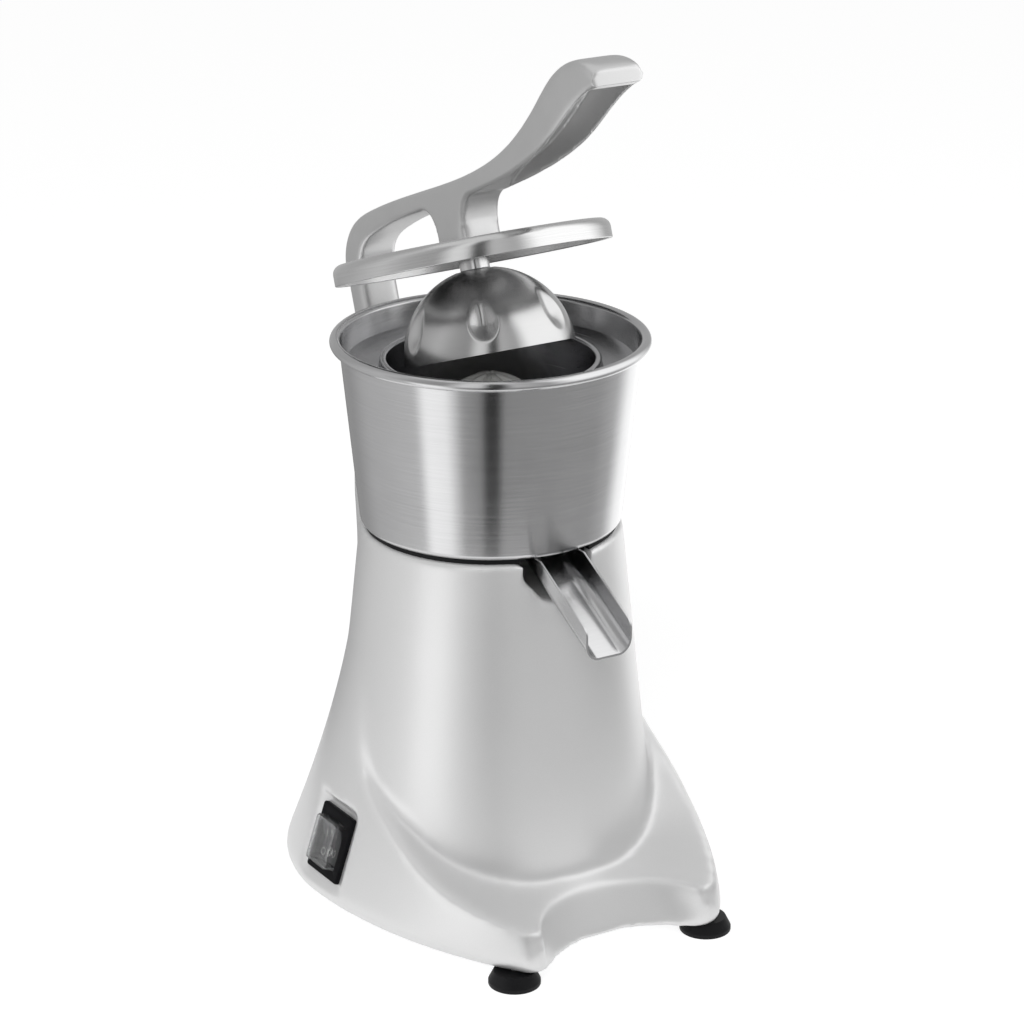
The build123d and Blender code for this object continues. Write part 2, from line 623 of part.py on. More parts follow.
CHIMNEY_BORE = CHIMNEY_RADIUS - BOWL_SHEET
with BuildPart() as juice_bowl:
    inner_corner = (bowl_radius(BOWL_FLOOR_Z + BOWL_SHEET) - BOWL_SHEET, BOWL_FLOOR_Z + BOWL_SHEET)
    outer_corner = (BOWL_FLOOR_RADIUS, BOWL_FLOOR_Z)
    with BuildSketch(Plane.XZ) as bowl_wall:
        with BuildLine():
            Polyline(
                (CHIMNEY_BORE, BOWL_FLOOR_Z), outer_corner, (BOWL_RIM_RADIUS, BOWL_RIM_Z),
                (BOWL_RIM_RADIUS - BOWL_SHEET, BOWL_RIM_Z), inner_corner,
                (CHIMNEY_RADIUS, BOWL_FLOOR_Z + BOWL_SHEET), (CHIMNEY_RADIUS, CHIMNEY_TOP_Z),
                (CHIMNEY_BORE, CHIMNEY_TOP_Z), close=True,
            )
        make_face()
        fillet(bowl_wall.vertices().sort_by_distance(outer_corner)[0], BOWL_FLOOR_ROUND)
        fillet(bowl_wall.vertices().sort_by_distance(inner_corner)[0], BOWL_FLOOR_ROUND - BOWL_SHEET)
        with Locations((BOWL_RIM_RADIUS - BOWL_SHEET / 4 + BEAD_RADIUS, BOWL_RIM_Z)):
            Circle(BEAD_RADIUS)
    revolve(axis=Axis.Z)
    with BuildSketch(Plane.XY.offset(BOWL_FLOOR_Z)):
        with Locations((0, -(OUTLET_NEAR + OUTLET_FAR) / 2)):
            RectangleRounded(OUTLET_WIDTH, OUTLET_FAR - OUTLET_NEAR, OUTLET_WIDTH / 5)
    extrude(amount=BOWL_SHEET, mode=Mode.SUBTRACT)
juice_bowl.part.label = "juice_bowl"
export_step(juice_bowl.part, "parts/juice_bowl.step")

# The trough falls from the bowl floor to the tip along SPOUT_SLOPE
SPOUT_FALL = tan(radians(SPOUT_SLOPE))
SPOUT_WALL_RISE = SPOUT_WALL / cos(radians(SPOUT_SLOPE))
spout_flow = (0, -cos(radians(SPOUT_SLOPE)), -sin(radians(SPOUT_SLOPE)))


def trough_floor(y):
    """Height of the underside of the trough at y."""
    return SPOUT_TIP_Z + (y - SPOUT_TIP_Y) * SPOUT_FALL


trough_start = Plane((0, 0, trough_floor(0)), x_dir=(1, 0, 0), z_dir=spout_flow)
with BuildPart() as spout:
    with BuildSketch(trough_start) as trough:
        with Locations((0, 2 * SPOUT_WALL)):
            RectangleRounded(SPOUT_WIDTH, 4 * SPOUT_WALL, SPOUT_CORNER)
            RectangleRounded(
                SPOUT_WIDTH - 2 * SPOUT_SHEET, 4 * SPOUT_WALL - 2 * SPOUT_SHEET,
                SPOUT_CORNER - SPOUT_SHEET, mode=Mode.SUBTRACT,
            )
    extrude(amount=-2 * SPOUT_TIP_Y)
    with BuildSketch(Plane.YZ) as side:
        wall_end = (SPOUT_TIP_Y, trough_floor(SPOUT_TIP_Y) + SPOUT_WALL_RISE)
        wall_top = BOWL_FLOOR_Z - FIT_GAP
        wall_bend = SPOUT_TIP_Y + (wall_top - wall_end[1]) / SPOUT_FALL
        with BuildLine():
            Polyline(
                (SPOUT_START_Y, wall_top), (wall_bend, wall_top), wall_end,
                (SPOUT_TIP_Y, trough_floor(SPOUT_TIP_Y) - SPOUT_SHEET),
                (SPOUT_START_Y, trough_floor(SPOUT_START_Y) - SPOUT_SHEET), close=True,
            )
        make_face()
        fillet(side.vertices().sort_by_distance(wall_end)[0], SPOUT_END_ROUND)
    extrude(amount=SPOUT_WIDTH, both=True, mode=Mode.INTERSECT)
spout.part.label = "spout"
export_step(spout.part, "parts/spout.step")

# Strainer: shelf, collar, tapered wall and slotted floor from one sheet
shelf_edge = bowl_radius(STRAINER_RIM_Z) - BOWL_SHEET - STRAINER_RIM_GAP
collar_bore = COLLAR_RADIUS - COLLAR_WIDTH
shelf_z = STRAINER_RIM_Z - STRAINER_SHELF_DROP
with BuildPart() as strainer:
    with BuildSketch(Plane.XZ):
        with BuildLine():
            Polyline(
                (shelf_edge, STRAINER_RIM_Z), (COLLAR_RADIUS, shelf_z), (COLLAR_RADIUS, COLLAR_TOP_Z),
                (collar_bore, COLLAR_TOP_Z), (STRAINER_FLOOR_RADIUS, STRAINER_FLOOR_Z + STRAINER_SHEET),
                (STRAINER_EYE_RADIUS + STRAINER_SHEET, STRAINER_FLOOR_Z + STRAINER_SHEET),
                (STRAINER_EYE_RADIUS + STRAINER_SHEET, STRAINER_FLOOR_Z + STRAINER_EYE_HEIGHT),
                (STRAINER_EYE_RADIUS, STRAINER_FLOOR_Z + STRAINER_EYE_HEIGHT),
                (STRAINER_EYE_RADIUS, STRAINER_FLOOR_Z),
                (STRAINER_FLOOR_RADIUS + STRAINER_SHEET, STRAINER_FLOOR_Z),
                (collar_bore + STRAINER_SHEET, COLLAR_TOP_Z - STRAINER_SHEET),
                (COLLAR_RADIUS - STRAINER_SHEET, COLLAR_TOP_Z - STRAINER_SHEET),
                (COLLAR_RADIUS - STRAINER_SHEET, shelf_z - STRAINER_SHEET),
                (shelf_edge, STRAINER_RIM_Z - STRAINER_SHEET), close=True,
            )
        make_face()
    revolve(axis=Axis.Z)
    slot_circle = (STRAINER_EYE_RADIUS + STRAINER_FLOOR_RADIUS) / 2
    with BuildSketch(Plane.XY.offset(STRAINER_FLOOR_Z)):
        with PolarLocations(slot_circle, SIEVE_SLOTS):
            SlotOverall(SIEVE_SLOT_LENGTH, SIEVE_SLOT_WIDTH)
    extrude(amount=STRAINER_SHEET, mode=Mode.SUBTRACT)
strainer.part.label = "strainer"
export_step(strainer.part, "parts/strainer.step")

# Seal round the shaft, in the deck boss
SEAL_Z = DECK_Z + SEAL_BOSS_HEIGHT - SEAL_HEIGHT
with BuildPart() as shaft_seal:
    with BuildSketch(Plane.XY.offset(SEAL_Z)):
        Circle(SEAL_RADIUS - FIT_GAP)
        Circle(SHAFT_RADIUS + FIT_GAP, mode=Mode.SUBTRACT)
    extrude(amount=SEAL_HEIGHT)
shaft_seal.part.label = "shaft_seal"
export_step(shaft_seal.part, "parts/shaft_seal.step")

# Drive: shaft, hub, cross pin and reamer
with BuildPart() as drive_shaft:
    with Locations((0, 0, SHAFT_BOTTOM_Z)):
        Cylinder(SHAFT_RADIUS, SHAFT_TOP_Z - SHAFT_BOTTOM_Z, align=(Align.CENTER, Align.CENTER, Align.MIN))
    chamfer(drive_shaft.edges().filter_by(GeomType.CIRCLE), SHAFT_RADIUS / 8)
    with Locations(Plane((0, 0, HUB_PIN_Z), z_dir=(1, 0, 0))):
        Cylinder(HUB_PIN_RADIUS + FIT_GAP, 4 * SHAFT_RADIUS, mode=Mode.SUBTRACT)
drive_shaft.part.label = "drive_shaft"
export_step(drive_shaft.part, "parts/drive_shaft.step")

with BuildPart() as cone_hub:
    with Locations((0, 0, HUB_BOTTOM_Z)):
        Cylinder(HUB_RADIUS, HUB_SHOULDER_Z - HUB_BOTTOM_Z, align=(Align.CENTER, Align.CENTER, Align.MIN))
        Cylinder(
            SHAFT_RADIUS + FIT_GAP, SHAFT_TOP_Z - HUB_BOTTOM_Z + FIT_GAP,
            align=(Align.CENTER, Align.CENTER, Align.MIN), mode=Mode.SUBTRACT,
        )
    with BuildSketch(Plane.XY.offset(HUB_SHOULDER_Z)):
        RectangleRounded(HUB_DRIVE_SIDE, HUB_DRIVE_SIDE, HUB_DRIVE_SIDE / 7)
    extrude(amount=HUB_DRIVE_HEIGHT)
    with Locations(Plane((0, 0, HUB_PIN_Z), z_dir=(1, 0, 0))):
        Cylinder(HUB_PIN_RADIUS + FIT_GAP, 3 * HUB_RADIUS, mode=Mode.SUBTRACT)
cone_hub.part.label = "cone_hub"
export_step(cone_hub.part, "parts/cone_hub.step")

with BuildPart() as hub_pin:
    with Locations(Plane((0, 0, HUB_PIN_Z), z_dir=(1, 0, 0))):
        Cylinder(HUB_PIN_RADIUS, 2 * HUB_RADIUS - OVERCUT)
hub_pin.part.label = "hub_pin"
export_step(hub_pin.part, "parts/hub_pin.step")

REAMER_FOOT_Z = REAMER_BASE_Z + REAMER_BASE_THICKNESS
REAMER_RISE = REAMER_TOP_Z - REAMER_FOOT_Z
with BuildPart() as reamer_cone:
    with BuildSketch(Plane.XZ):
        with BuildLine():
            Polyline(
                (REAMER_NOSE_RADIUS, REAMER_TOP_Z), (0, REAMER_TOP_Z), (0, HUB_SHOULDER_Z),
                (SKIRT_RADIUS - SKIRT_WALL, HUB_SHOULDER_Z), (SKIRT_RADIUS - SKIRT_WALL, REAMER_BASE_Z),
                (REAMER_BASE_RADIUS, REAMER_BASE_Z), (REAMER_BASE_RADIUS, REAMER_FOOT_Z),
                (REAMER_CORE_RADIUS, REAMER_FOOT_Z),
            )
            ThreePointArc(
                (REAMER_CORE_RADIUS, REAMER_FOOT_Z),
                (
                    REAMER_CORE_RADIUS * REAMER_CORE_BULGE[0],
                    REAMER_FOOT_Z + REAMER_RISE * REAMER_CORE_BULGE[1],
                ),
                (REAMER_NOSE_RADIUS, REAMER_TOP_Z),
            )
        make_face()
    revolve(axis=Axis.Z)
    for index in range(REAMER_RIBS):
        turn = 2 * pi * index / REAMER_RIBS
        rib_plane = Plane((0, 0, 0), x_dir=(cos(turn), sin(turn), 0), z_dir=(sin(turn), -cos(turn), 0))
        with BuildSketch(rib_plane):
            with BuildLine():
                Polyline(
                    (REAMER_RIB_RADIUS, REAMER_FOOT_Z), (REAMER_NOSE_RADIUS / 2, REAMER_FOOT_Z),
                    (REAMER_NOSE_RADIUS / 2, REAMER_TOP_Z), (REAMER_NOSE_RADIUS, REAMER_TOP_Z),
                )
                ThreePointArc(
                    (REAMER_NOSE_RADIUS, REAMER_TOP_Z),
                    (
                        REAMER_RIB_RADIUS * REAMER_RIB_BULGE[0],
                        REAMER_FOOT_Z + REAMER_RISE * REAMER_RIB_BULGE[1],
                    ),
                    (REAMER_RIB_RADIUS, REAMER_FOOT_Z),
                )
            make_face()
        extrude(amount=REAMER_RIB_THICKNESS / 2, both=True)
    with BuildSketch(Plane.XY.offset(HUB_SHOULDER_Z)):
        Rectangle(HUB_DRIVE_SIDE + 2 * FIT_GAP, HUB_DRIVE_SIDE + 2 * FIT_GAP)
    extrude(amount=HUB_DRIVE_HEIGHT + SEAT_GAP, mode=Mode.SUBTRACT)
reamer_cone.part.label = "reamer_cone"
export_step(reamer_cone.part, "parts/reamer_cone.step")

# Skirt under the reamer that shields the hub and the chimney
with BuildPart() as reamer_skirt:
    with BuildSketch(Plane.XY.offset(SKIRT_BOTTOM_Z)):
        Circle(SKIRT_RADIUS)
        Circle(SKIRT_RADIUS - SKIRT_WALL, mode=Mode.SUBTRACT)
    extrude(amount=REAMER_BASE_Z - SKIRT_BOTTOM_Z)
reamer_skirt.part.label = "reamer_skirt"
export_step(reamer_skirt.part, "parts/reamer_skirt.step")

# Motor: stator, windings, rotor, end brackets, bearings, bolts, screws and fan
STATOR_TOP_Z = STATOR_BOTTOM_Z + STATOR_HEIGHT
BRACKET_RADIUS = STATOR_RADIUS + BRACKET_WALL
with BuildPart() as stator_core:
    with BuildSketch(Plane.XY.offset(STATOR_BOTTOM_Z)):
        Circle(STATOR_RADIUS)
        Circle(STATOR_BORE, mode=Mode.SUBTRACT)
    extrude(amount=STATOR_HEIGHT)
stator_core.part.label = "stator_core"
export_step(stator_core.part, "parts/stator_core.step")

with BuildPart() as stator_windings:
    for z in (STATOR_BOTTOM_Z - WINDING_HEIGHT, STATOR_TOP_Z):
        with BuildSketch(Plane.XY.offset(z)):
            Circle(WINDING_OUTER)
            Circle(WINDING_INNER, mode=Mode.SUBTRACT)
        extrude(amount=WINDING_HEIGHT)
    fillet(stator_windings.edges().group_by(Axis.Z)[0], WINDING_ROUND)
    fillet(stator_windings.edges().group_by(Axis.Z)[-1], WINDING_ROUND)
stator_windings.part.label = "stator_windings"
export_step(stator_windings.part, "parts/stator_windings.step")

with BuildPart() as rotor:
    with BuildSketch(Plane.XY.offset(STATOR_BOTTOM_Z)):
        Circle(STATOR_BORE - AIR_GAP)
        Circle(SHAFT_RADIUS + FIT_GAP, mode=Mode.SUBTRACT)
    extrude(amount=STATOR_HEIGHT)
rotor.part.label = "rotor"
export_step(rotor.part, "parts/rotor.step")


def bracket(face_z, side):
    """End bracket against the stator face at face_z, side +1 above or -1 below."""
    lip_z = face_z - side * BRACKET_LIP
    plate_z = face_z + side * BRACKET_CUP
    back_z = plate_z + side * BRACKET_PLATE
    seat_z = plate_z + side * (BEARING_HEIGHT + FIT_GAP)
    seat_radius = BEARING_RADIUS + FIT_GAP
    with BuildPart() as shape:
        with BuildSketch(Plane.XZ):
            with BuildLine():
                Polyline(
                    (STATOR_RADIUS + FIT_GAP, lip_z), (BRACKET_RADIUS, lip_z), (BRACKET_RADIUS, back_z),
                    (seat_radius + BEARING_SEAT_WALL, back_z),
                    (seat_radius + BEARING_SEAT_WALL, seat_z + side * BRACKET_PLATE / 2),
                    (SHAFT_RADIUS + BRACKET_EYE_GAP, seat_z + side * BRACKET_PLATE / 2),
                    (SHAFT_RADIUS + BRACKET_EYE_GAP, seat_z), (seat_radius, seat_z), (seat_radius, plate_z),
                    (STATOR_RADIUS - BRACKET_WALL / 2, plate_z),
                    (STATOR_RADIUS - BRACKET_WALL / 2, face_z), (STATOR_RADIUS + FIT_GAP, face_z), close=True,
                )
            make_face()
        revolve(axis=Axis.Z)
        with BuildSketch(Plane.XY.offset(min(lip_z, back_z))):
            with PolarLocations(MOTOR_BOLT_CIRCLE, 4, start_angle=BOLT_START):
                Circle(EAR_BOSS_RADIUS)
            Circle(BRACKET_RADIUS - BRACKET_WALL / 2, mode=Mode.SUBTRACT)
        extrude(amount=abs(back_z - lip_z))
        with BuildSketch(Plane.XY.offset(min(lip_z, back_z))):
            with PolarLocations(MOTOR_BOLT_CIRCLE, 4, start_angle=BOLT_START):
                Circle(MOTOR_BOLT_RADIUS + FIT_GAP)
        extrude(amount=abs(back_z - lip_z), mode=Mode.SUBTRACT)
    return shape.part


TOP_BACK_Z = STATOR_TOP_Z + BRACKET_CUP + BRACKET_PLATE
BOTTOM_BACK_Z = STATOR_BOTTOM_Z - BRACKET_CUP - BRACKET_PLATE
with BuildPart() as motor_top_bracket:
    add(bracket(STATOR_TOP_Z, 1))
    with BuildSketch(Plane.XY.offset(TOP_BACK_Z)):
        with PolarLocations(POST_CIRCLE, 4, start_angle=BOLT_START):
            Circle(POST_RADIUS)
    extrude(amount=DECK_UNDER - TOP_BACK_Z)
    with BuildSketch(Plane.XY.offset(DECK_UNDER)):
        with PolarLocations(POST_CIRCLE, 4, start_angle=BOLT_START):
            Circle(MOUNT_SCREW_RADIUS + FIT_GAP)
    extrude(amount=-MOUNT_SCREW_GRIP - OVERCUT, mode=Mode.SUBTRACT)
motor_top_bracket.part.label = "motor_top_bracket"
export_step(motor_top_bracket.part, "parts/motor_top_bracket.step")

with BuildPart() as motor_bottom_bracket:
    add(bracket(STATOR_BOTTOM_Z, -1))
motor_bottom_bracket.part.label = "motor_bottom_bracket"
export_step(motor_bottom_bracket.part, "parts/motor_bottom_bracket.step")

BEARINGS = {
    "upper_bearing": STATOR_TOP_Z + BRACKET_CUP,
    "lower_bearing": STATOR_BOTTOM_Z - BRACKET_CUP - BEARING_HEIGHT,
}
for bearing_name, bearing_z in BEARINGS.items():
    with BuildPart() as bearing:
        with BuildSketch(Plane.XY.offset(bearing_z)):
            Circle(BEARING_RADIUS)
            Circle(SHAFT_RADIUS + FIT_GAP, mode=Mode.SUBTRACT)
        extrude(amount=BEARING_HEIGHT)
        chamfer(bearing.edges().filter_by(GeomType.CIRCLE).sort_by(SortBy.RADIUS)[-2:], BEARING_HEIGHT / 15)
    bearing.part.label = bearing_name
    export_step(bearing.part, f"parts/{bearing_name}.step")

with BuildPart() as motor_bolts:
    with PolarLocations(MOTOR_BOLT_CIRCLE, 4, start_angle=BOLT_START):
        with Locations((0, 0, BOTTOM_BACK_Z)):
            Cylinder(
                MOTOR_BOLT_RADIUS, TOP_BACK_Z - BOTTOM_BACK_Z, align=(Align.CENTER, Align.CENTER, Align.MIN)
            )
            Cylinder(
                MOTOR_BOLT_HEAD, MOTOR_BOLT_HEAD_HEIGHT, align=(Align.CENTER, Align.CENTER, Align.MAX)
            )
motor_bolts.part.label = "motor_bolts"
export_step(motor_bolts.part, "parts/motor_bolts.step")

with BuildPart() as motor_mount_screws:
    with PolarLocations(POST_CIRCLE, 4, start_angle=BOLT_START):
        with Locations((0, 0, DECK_Z)):
            Cylinder(
                MOUNT_SCREW_RADIUS, DECK_THICKNESS + MOUNT_SCREW_GRIP,
                align=(Align.CENTER, Align.CENTER, Align.MAX),
            )
            Cylinder(
                MOUNT_SCREW_HEAD, MOUNT_SCREW_HEAD_HEIGHT, align=(Align.CENTER, Align.CENTER, Align.MIN)
            )
motor_mount_screws.part.label = "motor_mount_screws"
export_step(motor_mount_screws.part, "parts/motor_mount_screws.step")

with BuildPart() as cooling_fan:
    with Locations((0, 0, FAN_Z)):
        Cylinder(FAN_HUB_RADIUS, FAN_HEIGHT, align=(Align.CENTER, Align.CENTER, Align.MIN))
    with BuildSketch(Plane.XY.offset(FAN_Z + FAN_HEIGHT - FAN_DISC)):
        Circle(FAN_RADIUS)
    extrude(amount=FAN_DISC)
    with BuildSketch(Plane.XY.offset(FAN_Z)):
        with PolarLocations((FAN_HUB_RADIUS + FAN_RADIUS) / 2 - FAN_BLADE_INSET, FAN_BLADES):
            Rectangle(FAN_RADIUS - FAN_HUB_RADIUS, FAN_BLADE_THICKNESS)
    extrude(amount=FAN_HEIGHT)
    with Locations((0, 0, FAN_Z)):
        Cylinder(SHAFT_RADIUS + FIT_GAP, 3 * FAN_HEIGHT, mode=Mode.SUBTRACT)
cooling_fan.part.label = "cooling_fan"
export_step(cooling_fan.part, "parts/cooling_fan.step")

# Run capacitor with its clamp, and the terminal block
with BuildPart() as run_capacitor:
    with Locations((*CAPACITOR_PLACE, PLATE_TOP)):
        Cylinder(CAPACITOR_RADIUS, CAPACITOR_HEIGHT, align=(Align.CENTER, Align.CENTER, Align.MIN))
    fillet(run_capacitor.edges().filter_by(GeomType.CIRCLE).sort_by(Axis.Z)[-1], CAPACITOR_CAN_ROUND)
run_capacitor.part.label = "run_capacitor"
export_step(run_capacitor.part, "parts/run_capacitor.step")

clamp_radius = CAPACITOR_RADIUS + FIT_GAP + CLAMP_SHEET
with BuildPart() as capacitor_clamp:
    with BuildSketch(Plane.XY.offset(CLAMP_Z)):
        with Locations(CAPACITOR_PLACE):
            Circle(clamp_radius)
            Circle(CAPACITOR_RADIUS + FIT_GAP, mode=Mode.SUBTRACT)
    extrude(amount=CLAMP_HEIGHT)
    with Locations((CAPACITOR_PLACE[0] - clamp_radius, CAPACITOR_PLACE[1], PLATE_TOP)):
        Box(
            CLAMP_SHEET, CLAMP_FOOT, CLAMP_Z + CLAMP_HEIGHT - PLATE_TOP,
            align=(Align.MIN, Align.CENTER, Align.MIN),
        )
        Box(CLAMP_FOOT, CLAMP_FOOT, CLAMP_SHEET, align=(Align.MAX, Align.CENTER, Align.MIN))
    with Locations((*CAPACITOR_PLACE, PLATE_TOP)):
        Cylinder(
            CAPACITOR_RADIUS + FIT_GAP, CAPACITOR_HEIGHT,
            align=(Align.CENTER, Align.CENTER, Align.MIN), mode=Mode.SUBTRACT,
        )
capacitor_clamp.part.label = "capacitor_clamp"
export_step(capacitor_clamp.part, "parts/capacitor_clamp.step")

pole_pitch = BLOCK_SIZE[0] / BLOCK_POLES
with BuildPart() as terminal_block:
    with Locations((*BLOCK_PLACE, PLATE_TOP)):
        Box(*BLOCK_SIZE, align=(Align.CENTER, Align.CENTER, Align.MIN))
    with BuildSketch(Plane((*BLOCK_PLACE, PLATE_TOP + BLOCK_SIZE[2]))):
        with GridLocations(pole_pitch, 1, BLOCK_POLES, 1):
            Circle(pole_pitch / 4)
    extrude(amount=-BLOCK_SIZE[2] / 2, mode=Mode.SUBTRACT)
terminal_block.part.label = "terminal_block"
export_step(terminal_block.part, "parts/terminal_block.step")

# Cord gland through the rear wall, and its lock nut inside
with BuildPart() as cord_gland:
    with BuildSketch(gland_face):
        RegularPolygon(GLAND_HEX, 6)
    extrude(amount=GLAND_HEAD)
    with BuildSketch(gland_face):
        RegularPolygon(GLAND_NECK, 6, major_radius=False)
    extrude(amount=-GLAND_WALL + SEAT_GAP)
    with BuildSketch(gland_face):
        Circle(GLAND_THREAD)
    extrude(amount=-GLAND_WALL - GLAND_NUT)
    with BuildSketch(gland_face.offset(-GLAND_WALL - GLAND_NUT)):
        Circle(GLAND_BORE)
    extrude(amount=GLAND_WALL + GLAND_NUT + GLAND_HEAD, mode=Mode.SUBTRACT)
cord_gland.part.label = "cord_gland"
export_step(cord_gland.part, "parts/cord_gland.step")

with BuildPart() as gland_nut:
    with BuildSketch(gland_face.offset(-GLAND_WALL)):
        RegularPolygon(GLAND_HEX, 6)
        Circle(GLAND_THREAD + FIT_GAP, mode=Mode.SUBTRACT)
    extrude(amount=-GLAND_NUT)
gland_nut.part.label = "gland_nut"
export_step(gland_nut.part, "parts/gland_nut.step")

# Switch: frame with its body, clear boot, rocker and terminals
PIN_SEAT_WIDTH = SWITCH_BODY[0] - 2 * OVERCUT
rocker_well = (BOOT_SIZE[0] - 2 * BOOT_SHEET, BOOT_SIZE[1] - 2 * BOOT_SHEET)
rocker_pivot = switch_panel.from_local_coords((0, 0, -ROCKER_PIVOT_DEPTH))
with BuildPart() as switch_frame:
    with BuildSketch(switch_panel):
        RectangleRounded(*BEZEL_SIZE, BEZEL_ROUND)
    extrude(amount=BEZEL_HEIGHT)
    chamfer(switch_frame.faces().sort_by(Axis(SWITCH_PLACE, SWITCH_NORMAL))[-1].edges(), BEZEL_HEIGHT / 4)
    with BuildSketch(switch_panel):
        Rectangle(*SWITCH_BODY)
    extrude(amount=-SWITCH_BODY_DEPTH)
    with BuildSketch(switch_panel.offset(FIT_GAP)):
        RectangleRounded(BOOT_SIZE[0] + PANEL_GAP, BOOT_SIZE[1] + PANEL_GAP, BOOT_ROUND)
    extrude(amount=BEZEL_HEIGHT, mode=Mode.SUBTRACT)
    with BuildSketch(switch_panel.offset(BEZEL_HEIGHT)):
        Rectangle(*rocker_well)
    extrude(amount=-SWITCH_BODY_DEPTH + BEZEL_HEIGHT, mode=Mode.SUBTRACT)
    with Locations(Plane(rocker_pivot, z_dir=(0, 1, 0))):
        Cylinder(ROCKER_PIN_RADIUS + FIT_GAP, PIN_SEAT_WIDTH, mode=Mode.SUBTRACT)
switch_frame.part.label = "switch_frame"
export_step(switch_frame.part, "parts/switch_frame.step")

with BuildPart() as switch_boot:
    with BuildSketch(switch_panel.offset(2 * FIT_GAP)):
        RectangleRounded(*BOOT_SIZE, BOOT_ROUND)
    extrude(amount=BOOT_HEIGHT)
    fillet(switch_boot.faces().sort_by(Axis(SWITCH_PLACE, SWITCH_NORMAL))[-1].edges(), BOOT_ROUND)
    with BuildSketch(switch_panel):
        Rectangle(*rocker_well)
    extrude(amount=BOOT_HEIGHT - BOOT_SHEET, mode=Mode.SUBTRACT)
switch_boot.part.label = "switch_boot"
export_step(switch_boot.part, "parts/switch_boot.step")

rocker_lean = radians(SWITCH_TILT - ROCKER_TRAVEL / 2)
rocker_side = Plane(rocker_pivot, x_dir=(sin(rocker_lean), 0, cos(rocker_lean)), z_dir=(0, -1, 0))
with BuildPart() as switch_rocker:
    with BuildSketch(rocker_side):
        with BuildLine():
            Polyline(
                (-ROCKER_SIZE[1] / 2, 0), (-ROCKER_HEEL, -ROCKER_HEEL), (ROCKER_HEEL, -ROCKER_HEEL),
                (ROCKER_SIZE[1] / 2, 0), (ROCKER_SIZE[1] / 2, ROCKER_LIP), (0, ROCKER_DIP),
                (-ROCKER_SIZE[1] / 2, ROCKER_LIP), close=True,
            )
        make_face()
    extrude(amount=ROCKER_SIZE[0] / 2, both=True)
    with Locations(Plane(rocker_pivot, z_dir=(0, 1, 0))):
        Cylinder(ROCKER_PIN_RADIUS, PIN_SEAT_WIDTH - OVERCUT)
switch_rocker.part.label = "switch_rocker"
export_step(switch_rocker.part, "parts/switch_rocker.step")

with BuildPart() as switch_terminals:
    with BuildSketch(switch_panel.offset(-SWITCH_BODY_DEPTH)):
        with GridLocations(*TERMINAL_PITCH, 2, 2):
            Rectangle(TERMINAL_SIZE[0], TERMINAL_SIZE[1])
    extrude(amount=-TERMINAL_SIZE[2])
switch_terminals.part.label = "switch_terminals"
export_step(switch_terminals.part, "parts/switch_terminals.step")

# Hinge: pin and circlips in the fork, friction washers beside the lever eye
PIN_LENGTH = COLUMN_WIDTH + 2 * PIN_OVERHANG
hinge_line = Plane((0, HINGE_Y, HINGE_Z), x_dir=(0, 1, 0), z_dir=(1, 0, 0))
clip_start = COLUMN_WIDTH / 2 + FIT_GAP
with BuildPart() as hinge_pin:
    with Locations(hinge_line):
        Cylinder(PIN_RADIUS, PIN_LENGTH)
    chamfer(hinge_pin.edges().filter_by(GeomType.CIRCLE), PIN_RADIUS / 10)
    for side in (-1, 1):
        with BuildSketch(hinge_line.offset(side * clip_start)):
            Circle(PIN_RADIUS + OVERCUT)
            Circle(PIN_RADIUS - CIRCLIP_GROOVE, mode=Mode.SUBTRACT)
        extrude(amount=side * (CIRCLIP_THICKNESS + FIT_GAP), mode=Mode.SUBTRACT)
hinge_pin.part.label = "hinge_pin"
export_step(hinge_pin.part, "parts/hinge_pin.step")

with BuildPart() as pin_circlips:
    for side in (-1, 1):
        with BuildSketch(hinge_line.offset(side * (clip_start + FIT_GAP / 2))):
            Circle(CIRCLIP_RADIUS)
            Circle(PIN_RADIUS - CIRCLIP_GROOVE + FIT_GAP, mode=Mode.SUBTRACT)
            with Locations((CIRCLIP_RADIUS, 0)):
                Rectangle(CIRCLIP_RADIUS, PIN_RADIUS, mode=Mode.SUBTRACT)
        extrude(amount=side * CIRCLIP_THICKNESS)
pin_circlips.part.label = "pin_circlips"
export_step(pin_circlips.part, "parts/pin_circlips.step")

washer_start = (TONGUE_WIDTH / 2 + FORK_WIDTH / 2 - WASHER_THICKNESS) / 2
with BuildPart() as friction_washers:
    for side in (-1, 1):
        with BuildSketch(hinge_line.offset(side * washer_start)):
            Circle(WASHER_RADIUS)
            Circle(PIN_RADIUS + FIT_GAP, mode=Mode.SUBTRACT)
        extrude(amount=side * WASHER_THICKNESS)
friction_washers.part.label = "friction_washers"
export_step(friction_washers.part, "parts/friction_washers.step")

# Bushes pressed into the lever's eye
EYE_BORE = PIN_RADIUS + FIT_GAP + BUSH_WALL
with BuildPart() as hinge_bushes:
    for side in (-1, 1):
        with BuildSketch(hinge_line.offset(side * FIT_GAP)):
            Circle(EYE_BORE)
            Circle(PIN_RADIUS + FIT_GAP, mode=Mode.SUBTRACT)
        extrude(amount=side * (TONGUE_WIDTH / 2 - FIT_GAP))
hinge_bushes.part.label = "hinge_bushes"
export_step(hinge_bushes.part, "parts/hinge_bushes.step")

# Lever planes: forward is -, up is +, measured from the hinge as in the closed place
LIFT_SIN = sin(radians(LEVER_LIFT))
LIFT_COS = cos(radians(LEVER_LIFT))
lever_side = Plane((0, HINGE_Y, HINGE_Z), x_dir=(0, LIFT_COS, -LIFT_SIN), z_dir=(1, 0, 0))
press_up = (0, LIFT_SIN, LIFT_COS)
press_origin = lever_side.from_local_coords((-HINGE_Y, 0, 0))
press_section = Plane(press_origin, x_dir=(1, 0, 0), z_dir=(0, -LIFT_COS, LIFT_SIN))
press_axis = Axis(press_origin, press_up)


